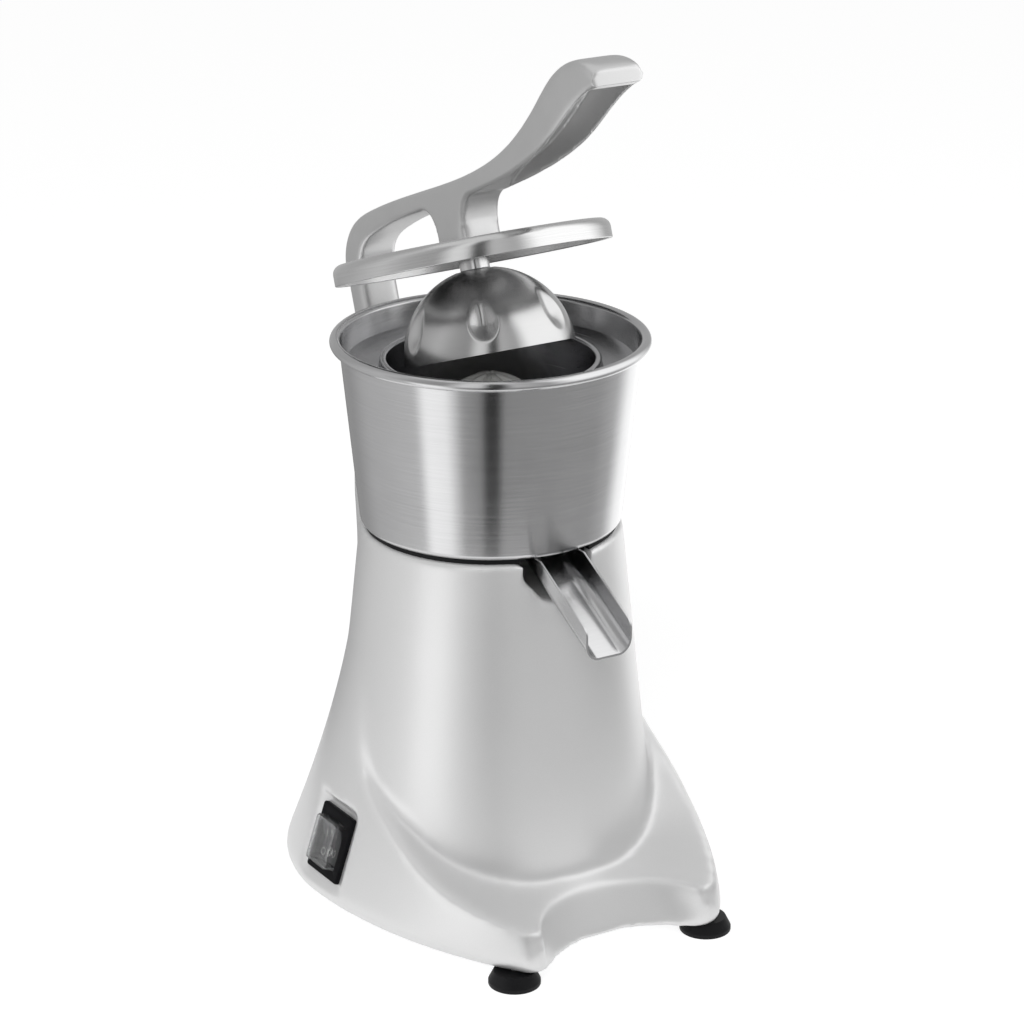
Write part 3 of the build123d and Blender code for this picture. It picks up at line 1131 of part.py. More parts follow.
def press_level(height):
    """Plane across the press axis at a height above the hinge."""
    return Plane(press_origin, x_dir=(1, 0, 0), z_dir=press_up).offset(height)


def arm_plan(inset):
    """Prism with the arm's outline from above, drawn in by inset."""
    half = ARM_WIDTH / 2 - inset
    grip = HANDLE_WIDTH / 2 - inset
    tip = ARM_TOP[-1][0] - OVERCUT
    with BuildPart() as prism:
        with BuildSketch(Plane(lever_side.origin, x_dir=(1, 0, 0), z_dir=press_up)):
            with BuildLine():
                Polyline((0, tip), (grip, tip), (grip, HANDLE_FULL))
                Spline((grip, HANDLE_FULL), (half, HANDLE_START), tangents=[(0, 1), (0, 1)])
                Polyline((half, HANDLE_START), (half, -tip), (0, -tip))
                mirror(about=Plane.YZ)
            make_face()
        extrude(amount=-tip)
    return prism.part


with BuildPart() as hollow:
    with BuildSketch(lever_side):
        with BuildLine():
            Spline(*HOLLOW_ROOF)
            Polyline(
                HOLLOW_ROOF[-1], (HOLLOW_ROOF[-1][0], BOSS_BOTTOM),
                (HOLLOW_ROOF[0][0], BOSS_BOTTOM), HOLLOW_ROOF[0],
            )
        make_face()
    extrude(amount=HANDLE_WIDTH, both=True)
    add(arm_plan(CAVITY_LIP), mode=Mode.INTERSECT)

# Lever arm: tail, curved arm with its boss over the press, and hollow handle
with BuildPart() as lever_arm:
    near = (-HINGE_Y + BOSS_LENGTH / 2, BOSS_BOTTOM)
    far = (-HINGE_Y - BOSS_LENGTH / 2, BOSS_BOTTOM)
    with BuildSketch(lever_side):
        with BuildLine():
            Line((ARM_TOP[0][0], TAIL_END), ARM_TOP[0])
            Spline(*ARM_TOP)
            Line(ARM_TOP[-1], HANDLE_UNDER[0])
            Spline(*HANDLE_UNDER)
            TangentArc(far, HANDLE_UNDER[-1], tangent=(0, 1))
            Line(far, near)
            TangentArc(near, REAR_UNDER[0], tangent=(0, 1))
            Spline(*REAR_UNDER)
            Polyline(REAR_UNDER[-1], (REAR_UNDER[-1][0], TAIL_END), (ARM_TOP[0][0], TAIL_END))
        make_face()
    extrude(amount=HANDLE_WIDTH, both=True)
    add(arm_plan(0), mode=Mode.INTERSECT)
    curved_edges = lever_arm.edges().filter_by(GeomType.LINE, reverse=True)
    upright_edges = lever_arm.edges().filter_by(GeomType.LINE).filter_by(press_axis)
    tail_edges = upright_edges.sort_by_distance(lever_side.origin)[:4]
    fillet(curved_edges + tail_edges, LEVER_ROUND)
    # Tongue and eye that enter the fork
    with BuildSketch(lever_side):
        Circle(EYE_RADIUS)
        with Locations((0, TAIL_END)):
            Rectangle(TONGUE_DEPTH, 2 * TAIL_END)
    extrude(amount=TONGUE_WIDTH / 2, both=True)
    with BuildSketch(lever_side):
        Circle(EYE_BORE + FIT_GAP)
    extrude(amount=TONGUE_WIDTH, both=True, mode=Mode.SUBTRACT)
    # Blind bore for the press stem
    with BuildSketch(press_level(BOSS_BOTTOM)):
        Circle(STEM_SHANK_RADIUS + FIT_GAP)
    extrude(amount=STEM_SHANK_GRIP + OVERCUT, mode=Mode.SUBTRACT)
    add(hollow.part, mode=Mode.SUBTRACT)
lever_arm.part.label = "lever_arm"
export_step(lever_arm.part, "parts/lever_arm.step")

# Press: hub under the boss, splash disc, stem, cup, washer and nut
DISC_TOP = DISC_RIM + DISC_HEIGHT
with BuildPart() as press_hub:
    with BuildSketch(press_level(DISC_TOP)):
        RectangleRounded(BOSS_WIDTH, BOSS_LENGTH, BOSS_ROUND)
        Circle(STEM_SHANK_RADIUS + FIT_GAP, mode=Mode.SUBTRACT)
    extrude(amount=BOSS_BOTTOM - DISC_TOP)
press_hub.part.label = "press_hub"
export_step(press_hub.part, "parts/press_hub.step")

with BuildPart() as press_disc:
    with BuildSketch(press_section):
        with BuildLine():
            Polyline(
                (STEM_SHANK_RADIUS + FIT_GAP, DISC_TOP), (STEM_SHANK_RADIUS + FIT_GAP, DISC_TOP - DISC_SHEET),
                (DISC_RADIUS - DISC_ROUND, DISC_TOP - DISC_SHEET),
            )
            RadiusArc(
                (DISC_RADIUS - DISC_ROUND, DISC_TOP - DISC_SHEET),
                (DISC_RADIUS - DISC_SHEET, DISC_TOP - DISC_ROUND), DISC_ROUND - DISC_SHEET,
            )
            Polyline(
                (DISC_RADIUS - DISC_SHEET, DISC_TOP - DISC_ROUND), (DISC_RADIUS - DISC_SHEET, DISC_RIM),
                (DISC_RADIUS, DISC_RIM), (DISC_RADIUS, DISC_TOP - DISC_ROUND),
            )
            RadiusArc((DISC_RADIUS - DISC_ROUND, DISC_TOP), (DISC_RADIUS, DISC_TOP - DISC_ROUND), DISC_ROUND)
            Line((DISC_RADIUS - DISC_ROUND, DISC_TOP), (STEM_SHANK_RADIUS + FIT_GAP, DISC_TOP))
        make_face()
    revolve(axis=press_axis)
press_disc.part.label = "press_disc"
export_step(press_disc.part, "parts/press_disc.step")

CUP_RIM = DISC_RIM - CUP_DROP
CUP_TOP = CUP_RIM + CUP_HEIGHT
CUP_INSIDE_TOP = CUP_TOP - CUP_SHEET
STEM_END = CUP_INSIDE_TOP - CUP_WASHER_THICKNESS - CUP_NUT_HEIGHT
with BuildPart() as press_stem:
    with BuildSketch(press_level(CUP_TOP)):
        Circle(STEM_RADIUS)
    extrude(amount=DISC_TOP - DISC_SHEET - CUP_TOP)
    with BuildSketch(press_level(CUP_TOP)):
        Circle(STEM_SHANK_RADIUS)
    extrude(amount=BOSS_BOTTOM + STEM_SHANK_GRIP - CUP_TOP)
    with BuildSketch(press_level(CUP_TOP)):
        Circle(STEM_END_RADIUS)
    extrude(amount=STEM_END - CUP_TOP)
press_stem.part.label = "press_stem"
export_step(press_stem.part, "parts/press_stem.step")


def dome(radius, top):
    """Solid dome over the cup's rim plane, cut flat at top."""
    with BuildPart() as shape:
        with Locations(press_level(CUP_RIM)):
            Sphere(radius, arc_size1=0, align=(Align.CENTER, Align.CENTER, Align.MIN))
        with BuildSketch(press_level(top)):
            Circle(radius)
        extrude(amount=radius, mode=Mode.SUBTRACT)
    return shape.part


def dimples(radius):
    """Balls that press the dimples into the dome, all round the cup."""
    reach = CUP_RADIUS + DIMPLE_RADIUS - DIMPLE_DEPTH
    lift = DIMPLE_LIFT * reach / CUP_RADIUS
    with BuildPart() as balls:
        with Locations(press_level(CUP_RIM + lift)):
            with PolarLocations(sqrt(reach**2 - lift**2), CUP_DIMPLES, start_angle=DIMPLE_TURN):
                Sphere(radius)
    return balls.part


with BuildPart() as cup_inside:
    add(dome(CUP_RADIUS - CUP_SHEET, CUP_INSIDE_TOP))
    add(dimples(DIMPLE_RADIUS + CUP_SHEET), mode=Mode.SUBTRACT)

with BuildPart() as press_cup:
    add(dome(CUP_RADIUS, CUP_TOP))
    add(cup_inside.part, mode=Mode.SUBTRACT)
    add(dimples(DIMPLE_RADIUS), mode=Mode.SUBTRACT)
    with BuildSketch(press_level(CUP_TOP)):
        Circle(STEM_END_RADIUS + FIT_GAP)
    extrude(amount=-2 * CUP_SHEET, mode=Mode.SUBTRACT)
press_cup.part.label = "press_cup"
export_step(press_cup.part, "parts/press_cup.step")

with BuildPart() as cup_washer:
    with BuildSketch(press_level(CUP_INSIDE_TOP)):
        Circle(CUP_WASHER_RADIUS)
        Circle(STEM_END_RADIUS + FIT_GAP, mode=Mode.SUBTRACT)
    extrude(amount=-CUP_WASHER_THICKNESS)
cup_washer.part.label = "cup_washer"
export_step(cup_washer.part, "parts/cup_washer.step")

with BuildPart() as cup_nut:
    with BuildSketch(press_level(CUP_INSIDE_TOP - CUP_WASHER_THICKNESS)):
        RegularPolygon(CUP_NUT_RADIUS, 6)
        Circle(STEM_END_RADIUS + FIT_GAP, mode=Mode.SUBTRACT)
    extrude(amount=-CUP_NUT_HEIGHT)
cup_nut.part.label = "cup_nut"
export_step(cup_nut.part, "parts/cup_nut.step")
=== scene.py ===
# %% [markdown]
# A citrus juicer with a hand lever: a painted casting stands on four rubber feet, a brushed steel bowl sits
# on it, and a cast lever carries a disc and a dome down onto the fruit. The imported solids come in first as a
# fixed frame, and every piece made below is placed against them and moves with one of their bodies.

# %% Load the frame
import json
import math

import bmesh
import bpy
from mathutils import Matrix, Vector
from mathutils.bvhtree import BVHTree


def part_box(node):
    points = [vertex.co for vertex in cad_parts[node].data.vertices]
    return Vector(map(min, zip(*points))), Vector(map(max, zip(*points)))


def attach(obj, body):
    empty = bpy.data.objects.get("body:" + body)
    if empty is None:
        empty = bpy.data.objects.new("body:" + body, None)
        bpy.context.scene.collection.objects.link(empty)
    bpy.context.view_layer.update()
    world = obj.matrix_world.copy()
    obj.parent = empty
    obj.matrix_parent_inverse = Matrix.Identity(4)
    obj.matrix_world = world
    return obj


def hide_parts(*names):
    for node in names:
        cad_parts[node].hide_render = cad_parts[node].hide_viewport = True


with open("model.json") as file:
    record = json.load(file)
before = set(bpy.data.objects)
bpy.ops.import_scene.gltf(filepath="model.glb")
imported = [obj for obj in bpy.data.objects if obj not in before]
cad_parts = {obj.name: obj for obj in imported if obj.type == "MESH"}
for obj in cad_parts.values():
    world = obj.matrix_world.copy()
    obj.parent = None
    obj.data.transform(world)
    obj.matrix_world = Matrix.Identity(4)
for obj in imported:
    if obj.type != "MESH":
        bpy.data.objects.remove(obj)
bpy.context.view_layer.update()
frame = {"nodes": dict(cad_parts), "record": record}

MM = 0.001
scene = bpy.context.scene

# %% [markdown]
# Finishes are sums of patterns, and sums read best as sums. One small class holds a socket of a node tree:
# plain arithmetic on it adds Math nodes, and one method adds any other node. The same class wires shaders
# and Geometry Nodes, because both are trees of nodes with sockets.


# %% A socket that does arithmetic
class Wire:
    """One output socket of a node tree. Without a socket it only stands for the tree."""

    def __init__(self, tree, socket=None):
        self.tree = tree
        self.socket = socket

    def node(self, kind, settings=None, inputs=None, out=0):
        """Adds a node: its settings first, then the values or links of its sockets."""
        made = self.tree.nodes.new(kind)
        for name, value in (settings or {}).items():
            if name == "stops":
                ramp = made.color_ramp.elements
                ramp.remove(ramp[1])
                for index, (place, level) in enumerate(value):
                    stop = ramp.new(place) if index else ramp[0]
                    stop.position = place
                    stop.color = (level, level, level, 1)
            else:
                setattr(made, name, value)
        for key, value in (inputs or {}).items():
            if isinstance(value, Wire):
                self.tree.links.new(value.socket, made.inputs[key])
            else:
                made.inputs[key].default_value = value
        return Wire(self.tree, made.outputs[out])

    def also(self, out):
        """Another output of the node this socket belongs to."""
        return Wire(self.tree, self.socket.node.outputs[out])

    def math(self, operation, first, second):
        return self.node("ShaderNodeMath", {"operation": operation}, {0: first, 1: second})

    def __add__(self, other):
        return self.math("ADD", self, other)

    __radd__ = __add__

    def __sub__(self, other):
        return self.math("SUBTRACT", self, other)

    def __mul__(self, other):
        return self.math("MULTIPLY", self, other)

    def __truediv__(self, other):
        return self.math("DIVIDE", self, other)

    def __pow__(self, other):
        return self.math("POWER", self, other)


print("sockets add, subtract, multiply, divide and take powers")

# %% [markdown]
# The dome, the disc and the stem stand on an axis that leans back with the raised lever. A matrix takes
# lengths measured along that axis into the shared frame, and a Mapping node takes a pattern the other way,
# so that turning marks run round the leaning axis and not round the upright one.

# %% The leaning press axis
LEVER_LIFT = math.radians(20)
HINGE_REACH = 116 * MM
HINGE = Vector((0, HINGE_REACH, 280 * MM))
press_turn = Matrix.Rotation(-LEVER_LIFT, 4, "X")
press_foot = HINGE + press_turn @ Vector((0, -HINGE_REACH, 0))
PRESS = Matrix.Translation(press_foot) @ press_turn
UPRIGHT = Matrix.Identity(4)
print("press axis starts at", [round(c / MM, 1) for c in press_foot], "mm")

# %% [markdown]
# Every finish starts from the place on the piece, in metres, so one number means the same size on every
# piece. A grain is Noise at a given size. Turning marks are Noise that changes fast along the radius and the
# height and hardly at all round the axis, which is what a polishing wheel leaves on a spun sheet.


# %% Pattern helpers
def place_on(wire, axis):
    """Object coordinates, leaned to the press axis where the piece is on it."""
    spot = wire.node("ShaderNodeTexCoord", out="Object")
    if axis is PRESS:
        turn = {"Vector": spot, "Location": press_foot, "Rotation": press_turn.to_euler()}
        spot = wire.node("ShaderNodeMapping", {"vector_type": "TEXTURE"}, turn)
    return spot


def grain(spot, size, detail=2.0):
    """Noise with spots of about this size in metres, from 0 to 1."""
    return spot.node("ShaderNodeTexNoise", None, {"Vector": spot, "Scale": 1 / size, "Detail": detail}, "Fac")


def turned(spot, fine, slow):
    """Marks that run round the axis, fine metres apart and slow metres long."""
    x = spot.node("ShaderNodeSeparateXYZ", None, {"Vector": spot})
    y, z = x.also("Y"), x.also("Z")
    radius = (x * x + y * y) ** 0.5
    swept = spot.node("ShaderNodeCombineXYZ", None, {
        "X": radius / fine + x / slow, "Y": z / fine + y / slow, "Z": (x - y) / slow,
    })
    return spot.node("ShaderNodeTexNoise", None, {"Vector": swept, "Scale": 1.0, "Detail": 3.0}, "Fac")


def tint(wire, low, high, share):
    """A colour between low and high."""
    ends = {"Factor": share, 6: (*low, 1), 7: (*high, 1)}
    return wire.node("ShaderNodeMix", {"data_type": "RGBA"}, ends, 2)


def bumped(wire, height, depth):
    """Normal from a height pattern, depth in metres."""
    return wire.node("ShaderNodeBump", None, {"Height": height, "Distance": depth, "Strength": 1.0}, "Normal")


finishes = {}


def finish(slot, paint, axis=UPRIGHT, **fixed):
    """A material for one slot of the record. paint gives what varies, fixed what is the same all over."""
    material = bpy.data.materials.new(slot)
    material.use_nodes = True
    tree = material.node_tree
    shader = tree.nodes["Principled BSDF"]
    wire = Wire(tree)
    for name, value in fixed.items():
        shader.inputs[name.replace("_", " ")].default_value = value
    for name, value in paint(place_on(wire, axis)).items():
        tree.links.new(value.socket, shader.inputs[name])
    finishes[slot] = material


print("pattern helpers ready")

# %% [markdown]
# The casting is sprayed with silver paint: very pale, satin, with metal flakes far smaller than a millimetre
# and the faint waviness that sprayed paint dries to. A flat grey would look like plastic, so two sizes of
# grain move the colour a little, and the waviness is a shallow bump.


# %% Silver paint
def grey(level):
    """A colour with three equal parts."""
    return (level, level, level)


PAINT_LIGHT = grey(0.86)
PAINT_DARK = grey(0.74)


def silver(spot):
    flake = grain(spot, 0.35 * MM)
    cloud = grain(spot, 40 * MM)
    peel = grain(spot, 1.6 * MM)
    return {
        "Base Color": tint(spot, PAINT_DARK, PAINT_LIGHT, flake * 0.7 + cloud * 0.3),
        "Roughness": 0.34 + flake * 0.12,
        "Normal": bumped(spot, peel, 0.012 * MM),
    }


finish("silver_paint", silver, Metallic=0.5, Coat_Weight=0.2, Coat_Roughness=0.2)
print("paint:", finishes["silver_paint"].name)

# %% [markdown]
# Five finishes are polished round an axis: the bowl, the strainer, the disc, the dome and the stem. They
# share one recipe, turning marks in colour, roughness and a very shallow bump, and differ in how dark and how
# rough they are. The shader's own anisotropy stretches highlights across the marks, as brushed steel does.


# %% Turned and brushed steel
def brushed(low, high, rough, fine, depth):
    def paint(spot):
        marks = turned(spot, fine, 60 * MM)
        smear = grain(spot, 25 * MM)
        return {
            "Base Color": tint(spot, low, high, marks * 0.75 + smear * 0.25),
            "Roughness": rough + marks * 0.12 + smear * 0.04,
            "Normal": bumped(spot, marks, depth),
        }

    return paint


STEEL_LOW = (0.46, 0.46, 0.465)
STEEL_HIGH = (0.66, 0.66, 0.665)
SIEVE_LOW = (0.40, 0.40, 0.41)
SIEVE_HIGH = (0.58, 0.58, 0.59)
STEEL = {"Metallic": 1.0}
ACROSS = {"Metallic": 1.0, "Anisotropic": 0.7, "Anisotropic_Rotation": 0.25}
finish("brushed_stainless", brushed(STEEL_LOW, STEEL_HIGH, 0.11, 0.22 * MM, 0.003 * MM), **ACROSS)
finish("strainer_stainless", brushed(SIEVE_LOW, SIEVE_HIGH, 0.16, 0.3 * MM, 0.003 * MM), **STEEL)
finish("spun_stainless", brushed(grey(0.56), grey(0.76), 0.16, 0.3 * MM, 0.004 * MM), PRESS, **ACROSS)
finish("dome_stainless", brushed(grey(0.53), grey(0.62), 0.16, 0.22 * MM, 0.001 * MM), PRESS, **ACROSS)
finish("polished_steel", brushed(grey(0.56), grey(0.70), 0.10, 0.4 * MM, 0.002 * MM), **STEEL)
print("turned finishes:", sorted(finishes))

# %% [markdown]
# The lever and its hub are aluminium castings, blasted and left satin: light grey with a fine even sparkle
# and no direction. The other metals inside, such as zinc, iron and bronze, are the same recipe in their own
# colours, each with a grain of its own size.


# %% Cast and plain metals
def cast(low, high, rough, size, depth):
    def paint(spot):
        sparkle = grain(spot, size)
        cloud = grain(spot, 30 * size)
        return {
            "Base Color": tint(spot, low, high, sparkle * 0.6 + cloud * 0.4),
            "Roughness": rough + sparkle * 0.14,
            "Normal": bumped(spot, sparkle, depth),
        }

    return paint


finish("cast_aluminium", cast(grey(0.58), grey(0.70), 0.26, 0.5 * MM, 0.008 * MM), Metallic=0.85)
finish("die_cast", cast((0.38, 0.38, 0.39), (0.52, 0.52, 0.53), 0.42, 0.9 * MM, 0.03 * MM), Metallic=0.9)
finish("zinc_sheet", cast((0.42, 0.43, 0.44), (0.62, 0.63, 0.64), 0.36, 6 * MM, 0.01 * MM), Metallic=1.0)
finish("plain_steel", cast((0.40, 0.40, 0.41), (0.55, 0.55, 0.56), 0.30, 0.8 * MM, 0.008 * MM), Metallic=1.0)
finish("bronze", cast((0.42, 0.27, 0.12), (0.60, 0.42, 0.20), 0.36, 0.5 * MM, 0.01 * MM), Metallic=1.0)
print("cast finishes:", sorted(finishes))

# %% [markdown]
# Laminated iron shows its thin stacked sheets, and a winding its copper wires. Both are fine stripes, the one
# along the height and the other round the axis, so the turning marks serve again at a coarser pitch.


# %% Stacked iron and wound copper
def striped(low, high, rough, pitch, depth):
    def paint(spot):
        rows = turned(spot, pitch, 90 * MM)
        return {
            "Base Color": tint(spot, low, high, rows),
            "Roughness": rough + rows * 0.2,
            "Normal": bumped(spot, rows, depth),
        }

    return paint


IRON_LOW, IRON_HIGH = (0.12, 0.12, 0.13), (0.30, 0.30, 0.32)
COPPER_LOW, COPPER_HIGH = (0.35, 0.12, 0.05), (0.68, 0.32, 0.15)
finish("laminated_iron", striped(IRON_LOW, IRON_HIGH, 0.4, 0.5 * MM, 0.05 * MM), Metallic=0.9)
finish("copper_wire", striped(COPPER_LOW, COPPER_HIGH, 0.28, 0.9 * MM, 0.2 * MM), Metallic=1.0)
print("striped finishes: laminated_iron, copper_wire")

# %% [markdown]
# Rubber and moulded plastic come out of textured tools: a fine leathery grain, slightly uneven gloss, and a
# colour that shifts a little with the grain. The splash cover over the switch is thin clear plastic. Alpha
# lets about half of the light pass it unbent, and its surface has the faint haze of a moulding.


# %% Rubber and plastics
def moulded(low, high, rough, size, depth):
    def paint(spot):
        leather = grain(spot, size, 4.0)
        cloud = grain(spot, 18 * size)
        return {
            "Base Color": tint(spot, low, high, leather * 0.5 + cloud * 0.5),
            "Roughness": rough + leather * 0.12 + cloud * 0.06,
            "Normal": bumped(spot, leather, depth),
        }

    return paint


def haze(spot):
    cloud = grain(spot, 3 * MM)
    return {"Roughness": 0.01 + cloud * 0.04, "Normal": bumped(spot, cloud, 0.02 * MM)}


BLACK_LOW, BLACK_HIGH = (0.004, 0.004, 0.005), (0.012, 0.012, 0.013)
finish("black_rubber", moulded(BLACK_LOW, BLACK_HIGH, 0.46, 0.6 * MM, 0.03 * MM), Specular_IOR_Level=0.2)
finish("black_plastic", moulded(BLACK_LOW, BLACK_HIGH, 0.4, 0.4 * MM, 0.012 * MM), Specular_IOR_Level=0.04)
finish("rocker_plastic", moulded((0.012, 0.012, 0.013), (0.026, 0.026, 0.028), 0.3, 0.5 * MM, 0.01 * MM))
finish("white_plastic", moulded((0.66, 0.66, 0.63), (0.78, 0.78, 0.76), 0.36, 0.5 * MM, 0.01 * MM))
finish("reamer_plastic", moulded((0.62, 0.62, 0.60), (0.76, 0.76, 0.74), 0.28, 1.2 * MM, 0.008 * MM))
finish("clear_boot", haze, Base_Color=(0.93, 0.94, 0.95, 1), Transmission_Weight=0.99, IOR=1.42, Alpha=0.55)
print("finishes:", len(finishes))

# %% [markdown]
# Most of the sheet metal is turned, so most pieces are a profile swept round an axis. The profile is a list
# of corners with a rounding each, because folded and polished sheet has no sharp edge. The sweep closes the
# loop, shares the points on the axis, and leaves the place in the mesh, so that the object stays at the
# origin.

# %% Turned pieces
ROUND_STEPS = 6
RING_STEPS = 192


def rounded(corners):
    """Points of a closed outline in mm: each corner is (x, y) or (x, y, rounding)."""
    points = []
    for index, corner in enumerate(corners):
        here = Vector(corner[:2])
        radius = corner[2] if len(corner) > 2 else 0
        if not radius:
            points.append(here)
            continue
        back = (Vector(corners[index - 1][:2]) - here).normalized()
        ahead = (Vector(corners[(index + 1) % len(corners)][:2]) - here).normalized()
        half = back.angle(ahead) / 2
        centre = here + (back + ahead).normalized() * (radius / math.sin(half))
        first = here + back * (radius / math.tan(half)) - centre
        last = here + ahead * (radius / math.tan(half)) - centre
        for step in range(ROUND_STEPS + 1):
            share = step / ROUND_STEPS
            points.append(centre + first.slerp(last, share).normalized() * radius)
    return points


def arc(centre, radius, start, end, steps):
    """Points of an arc in mm, angles in degrees."""
    turns = [math.radians(start + (end - start) * step / steps) for step in range(steps + 1)]
    return [(centre[0] + radius * math.cos(t), centre[1] + radius * math.sin(t)) for t in turns]


def arc_through(first, middle, last, steps):
    """Points of the arc in mm through three points."""
    (ax, ay), (bx, by), (cx, cy) = first, middle, last
    d = 2 * (ax * (by - cy) + bx * (cy - ay) + cx * (ay - by))
    sa, sb, sc = ax * ax + ay * ay, bx * bx + by * by, cx * cx + cy * cy
    ox = (sa * (by - cy) + sb * (cy - ay) + sc * (ay - by)) / d
    oy = (sa * (cx - bx) + sb * (ax - cx) + sc * (bx - ax)) / d
    start, end = (math.degrees(math.atan2(y - oy, x - ox)) for x, y in (first, last))
    return arc((ox, oy), math.hypot(ax - ox, ay - oy), start, end, steps)


def mesh_of(name, bm):
    """A mesh from a bmesh, with its normals turned out. The bmesh is freed."""
    bmesh.ops.recalc_face_normals(bm, faces=bm.faces)
    mesh = bpy.data.meshes.new(name)
    bm.to_mesh(mesh)
    bm.free()
    return mesh


def piece_from(name, bm, body, slot, replaced):
    """A finished piece from a bmesh."""
    piece_of(name, mesh_of(name, bm), body, slot, replaced)


def piece_of(name, mesh, body, slot, replaced, angle=40):
    """A finished piece: shaded smooth up to an angle, in its finish, riding on its body."""
    mesh.shade_smooth()
    mesh.set_sharp_from_angle(angle=math.radians(angle))
    mesh.materials.clear()
    mesh.materials.append(finishes[slot])
    piece = bpy.data.objects.new(name, mesh)
    scene.collection.objects.link(piece)
    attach(piece, body)
    if replaced:
        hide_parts(*replaced)
    print(name, "faces", len(mesh.polygons), "rides", body)


def lathe(points, axis=UPRIGHT, steps=RING_STEPS):
    """bmesh of an outline in mm swept round an axis. Points on the axis become one vertex."""
    bm = bmesh.new()
    rings = []
    for x, y in points:
        count = steps if x > 1e-6 else 1
        turns = [2 * math.pi * step / steps for step in range(count)]
        rings.append([
            bm.verts.new(axis @ Vector((x * MM * math.cos(t), x * MM * math.sin(t), y * MM))) for t in turns
        ])
    for low, high in zip(rings, rings[1:] + rings[:1]):
        for step in range(steps):
            after = (step + 1) % steps
            if len(low) == 1 and len(high) == 1:
                break
            if len(low) == 1:
                bm.faces.new((low[0], high[after], high[step]))
            elif len(high) == 1:
                bm.faces.new((low[step], low[after], high[0]))
            else:
                bm.faces.new((low[step], low[after], high[after], high[step]))
    return bm


print("rounding steps", ROUND_STEPS, "ring steps", RING_STEPS)

# %% [markdown]
# The bowl is one drawn sheet: a flat floor with a chimney for the shaft, a wall that widens upwards, and a
# rim rolled outwards into a bead. The bead is an arc of the profile that the inner wall runs into. The
# outlet over the spout is cut out of the floor with a Boolean, which is the plainest tool for a single
# hole.

# %% Juice bowl
BEAD_CENTRE = (82.05, 308.5)
BEAD_RADIUS = 2.9
OUTLET_SIZE = (22, 17, 6)
OUTLET_CENTRE = (0, -54.5, 209.5)


def evaluated(obj):
    """The object's mesh with its modifiers applied. The object itself is deleted."""
    mesh = bpy.data.meshes.new_from_object(obj.evaluated_get(bpy.context.evaluated_depsgraph_get()))
    bpy.data.objects.remove(obj)
    return mesh


def loose(name, shape):
    """A helper object that isn't part of the result, from a mesh or a bmesh."""
    mesh = mesh_of(name, shape) if isinstance(shape, bmesh.types.BMesh) else shape
    helper = bpy.data.objects.new(name, mesh)
    scene.collection.objects.link(helper)
    return helper


def block(size, centre):
    """bmesh of a block in mm."""
    bm = bmesh.new()
    scaled = Matrix.Diagonal([s * MM for s in size]).to_4x4()
    bmesh.ops.create_cube(bm, size=1, matrix=Matrix.Translation(Vector(centre) * MM) @ scaled)
    return bm


outer_wall = rounded([(15.8, 209, 0.4), (70, 209, 4.0), (79.9, 306)])
bead = arc(BEAD_CENTRE, BEAD_RADIUS, -135, 180, 28)
inner_wall = rounded([(69.1, 210, 3.0), (16.8, 210, 0.5), (16.8, 238, 0.45), (15.8, 238, 0.45)])
bowl_shell = loose("bowl_shell", lathe(outer_wall + bead + inner_wall))
outlet = loose("outlet", block(OUTLET_SIZE, OUTLET_CENTRE))
cut = bowl_shell.modifiers.new("outlet", "BOOLEAN")
cut.object = outlet
cut.operation = "DIFFERENCE"
piece_of("juice_bowl_dressed", evaluated(bowl_shell), "stand", "brushed_stainless", ["juice_bowl"])
bpy.data.objects.remove(outlet)

# %% [markdown]
# The strainer hangs in the bowl: a shelf slopes in from the bowl wall to a raised collar, and a tapered wall
# leads down to a slotted floor. Thirty slots round a circle are a rule with a count, so Geometry Nodes place
# one cutter round a ring and take it out of the turned sheet. The ring tree has named inputs and serves the
# ribs of the reamer again.


# %% Ring tree
def group(name, sockets):
    """The input of a new Geometry Nodes tree with named sockets and a geometry output."""
    tree = bpy.data.node_groups.new(name, "GeometryNodeTree")
    tree.interface.new_socket("Geometry", in_out="INPUT", socket_type="NodeSocketGeometry")
    for label, kind in sockets:
        tree.interface.new_socket(label, in_out="INPUT", socket_type=kind)
    tree.interface.new_socket("Geometry", in_out="OUTPUT", socket_type="NodeSocketGeometry")
    return Wire(tree).node("NodeGroupInput", out="Geometry")


def set_inputs(modifier, values):
    """Sets a modifier's named inputs by the identifiers of their sockets."""
    for item in modifier.node_group.interface.items_tree:
        if item.item_type == "SOCKET" and item.in_out == "INPUT" and item.name in values:
            modifier[item.identifier] = values[item.name]


PIECE_INPUTS = [("Piece", "NodeSocketObject"), ("Finish", "NodeSocketMaterial")]
RING_INPUTS = [
    ("Count", "NodeSocketInt"), ("Radius", "NodeSocketFloat"), ("Start", "NodeSocketFloat"), *PIECE_INPUTS,
]


def stamped(given, points, **more):
    """Copies of Piece on points, as real geometry."""
    copy = given.node("GeometryNodeObjectInfo", None, {"Object": given.also("Piece")}, "Geometry")
    sockets = {"Points": points, "Instance": copy, **more}
    placed = given.node("GeometryNodeInstanceOnPoints", None, sockets)
    return given.node("GeometryNodeRealizeInstances", None, {"Geometry": placed})


def ring_of(given):
    """Copies of Piece round a ring, each turned to face outwards."""
    count = given.also("Count")
    ring = given.node("GeometryNodeMeshCircle", None, {"Vertices": count, "Radius": given.also("Radius")})
    turn = given.node("GeometryNodeInputIndex") * (2 * math.pi) / count + given.also("Start")
    return stamped(given, ring, Rotation=given.node("ShaderNodeCombineXYZ", None, {"Z": turn}))


def close(given, shape):
    """Ends a tree with a material and an output, and gives back the tree."""
    sockets = {"Geometry": shape, "Material": given.also("Finish")}
    dressed = given.node("GeometryNodeSetMaterial", None, sockets)
    end = given.tree.nodes.new("NodeGroupOutput")
    given.tree.links.new(dressed.socket, end.inputs["Geometry"])
    return given.tree


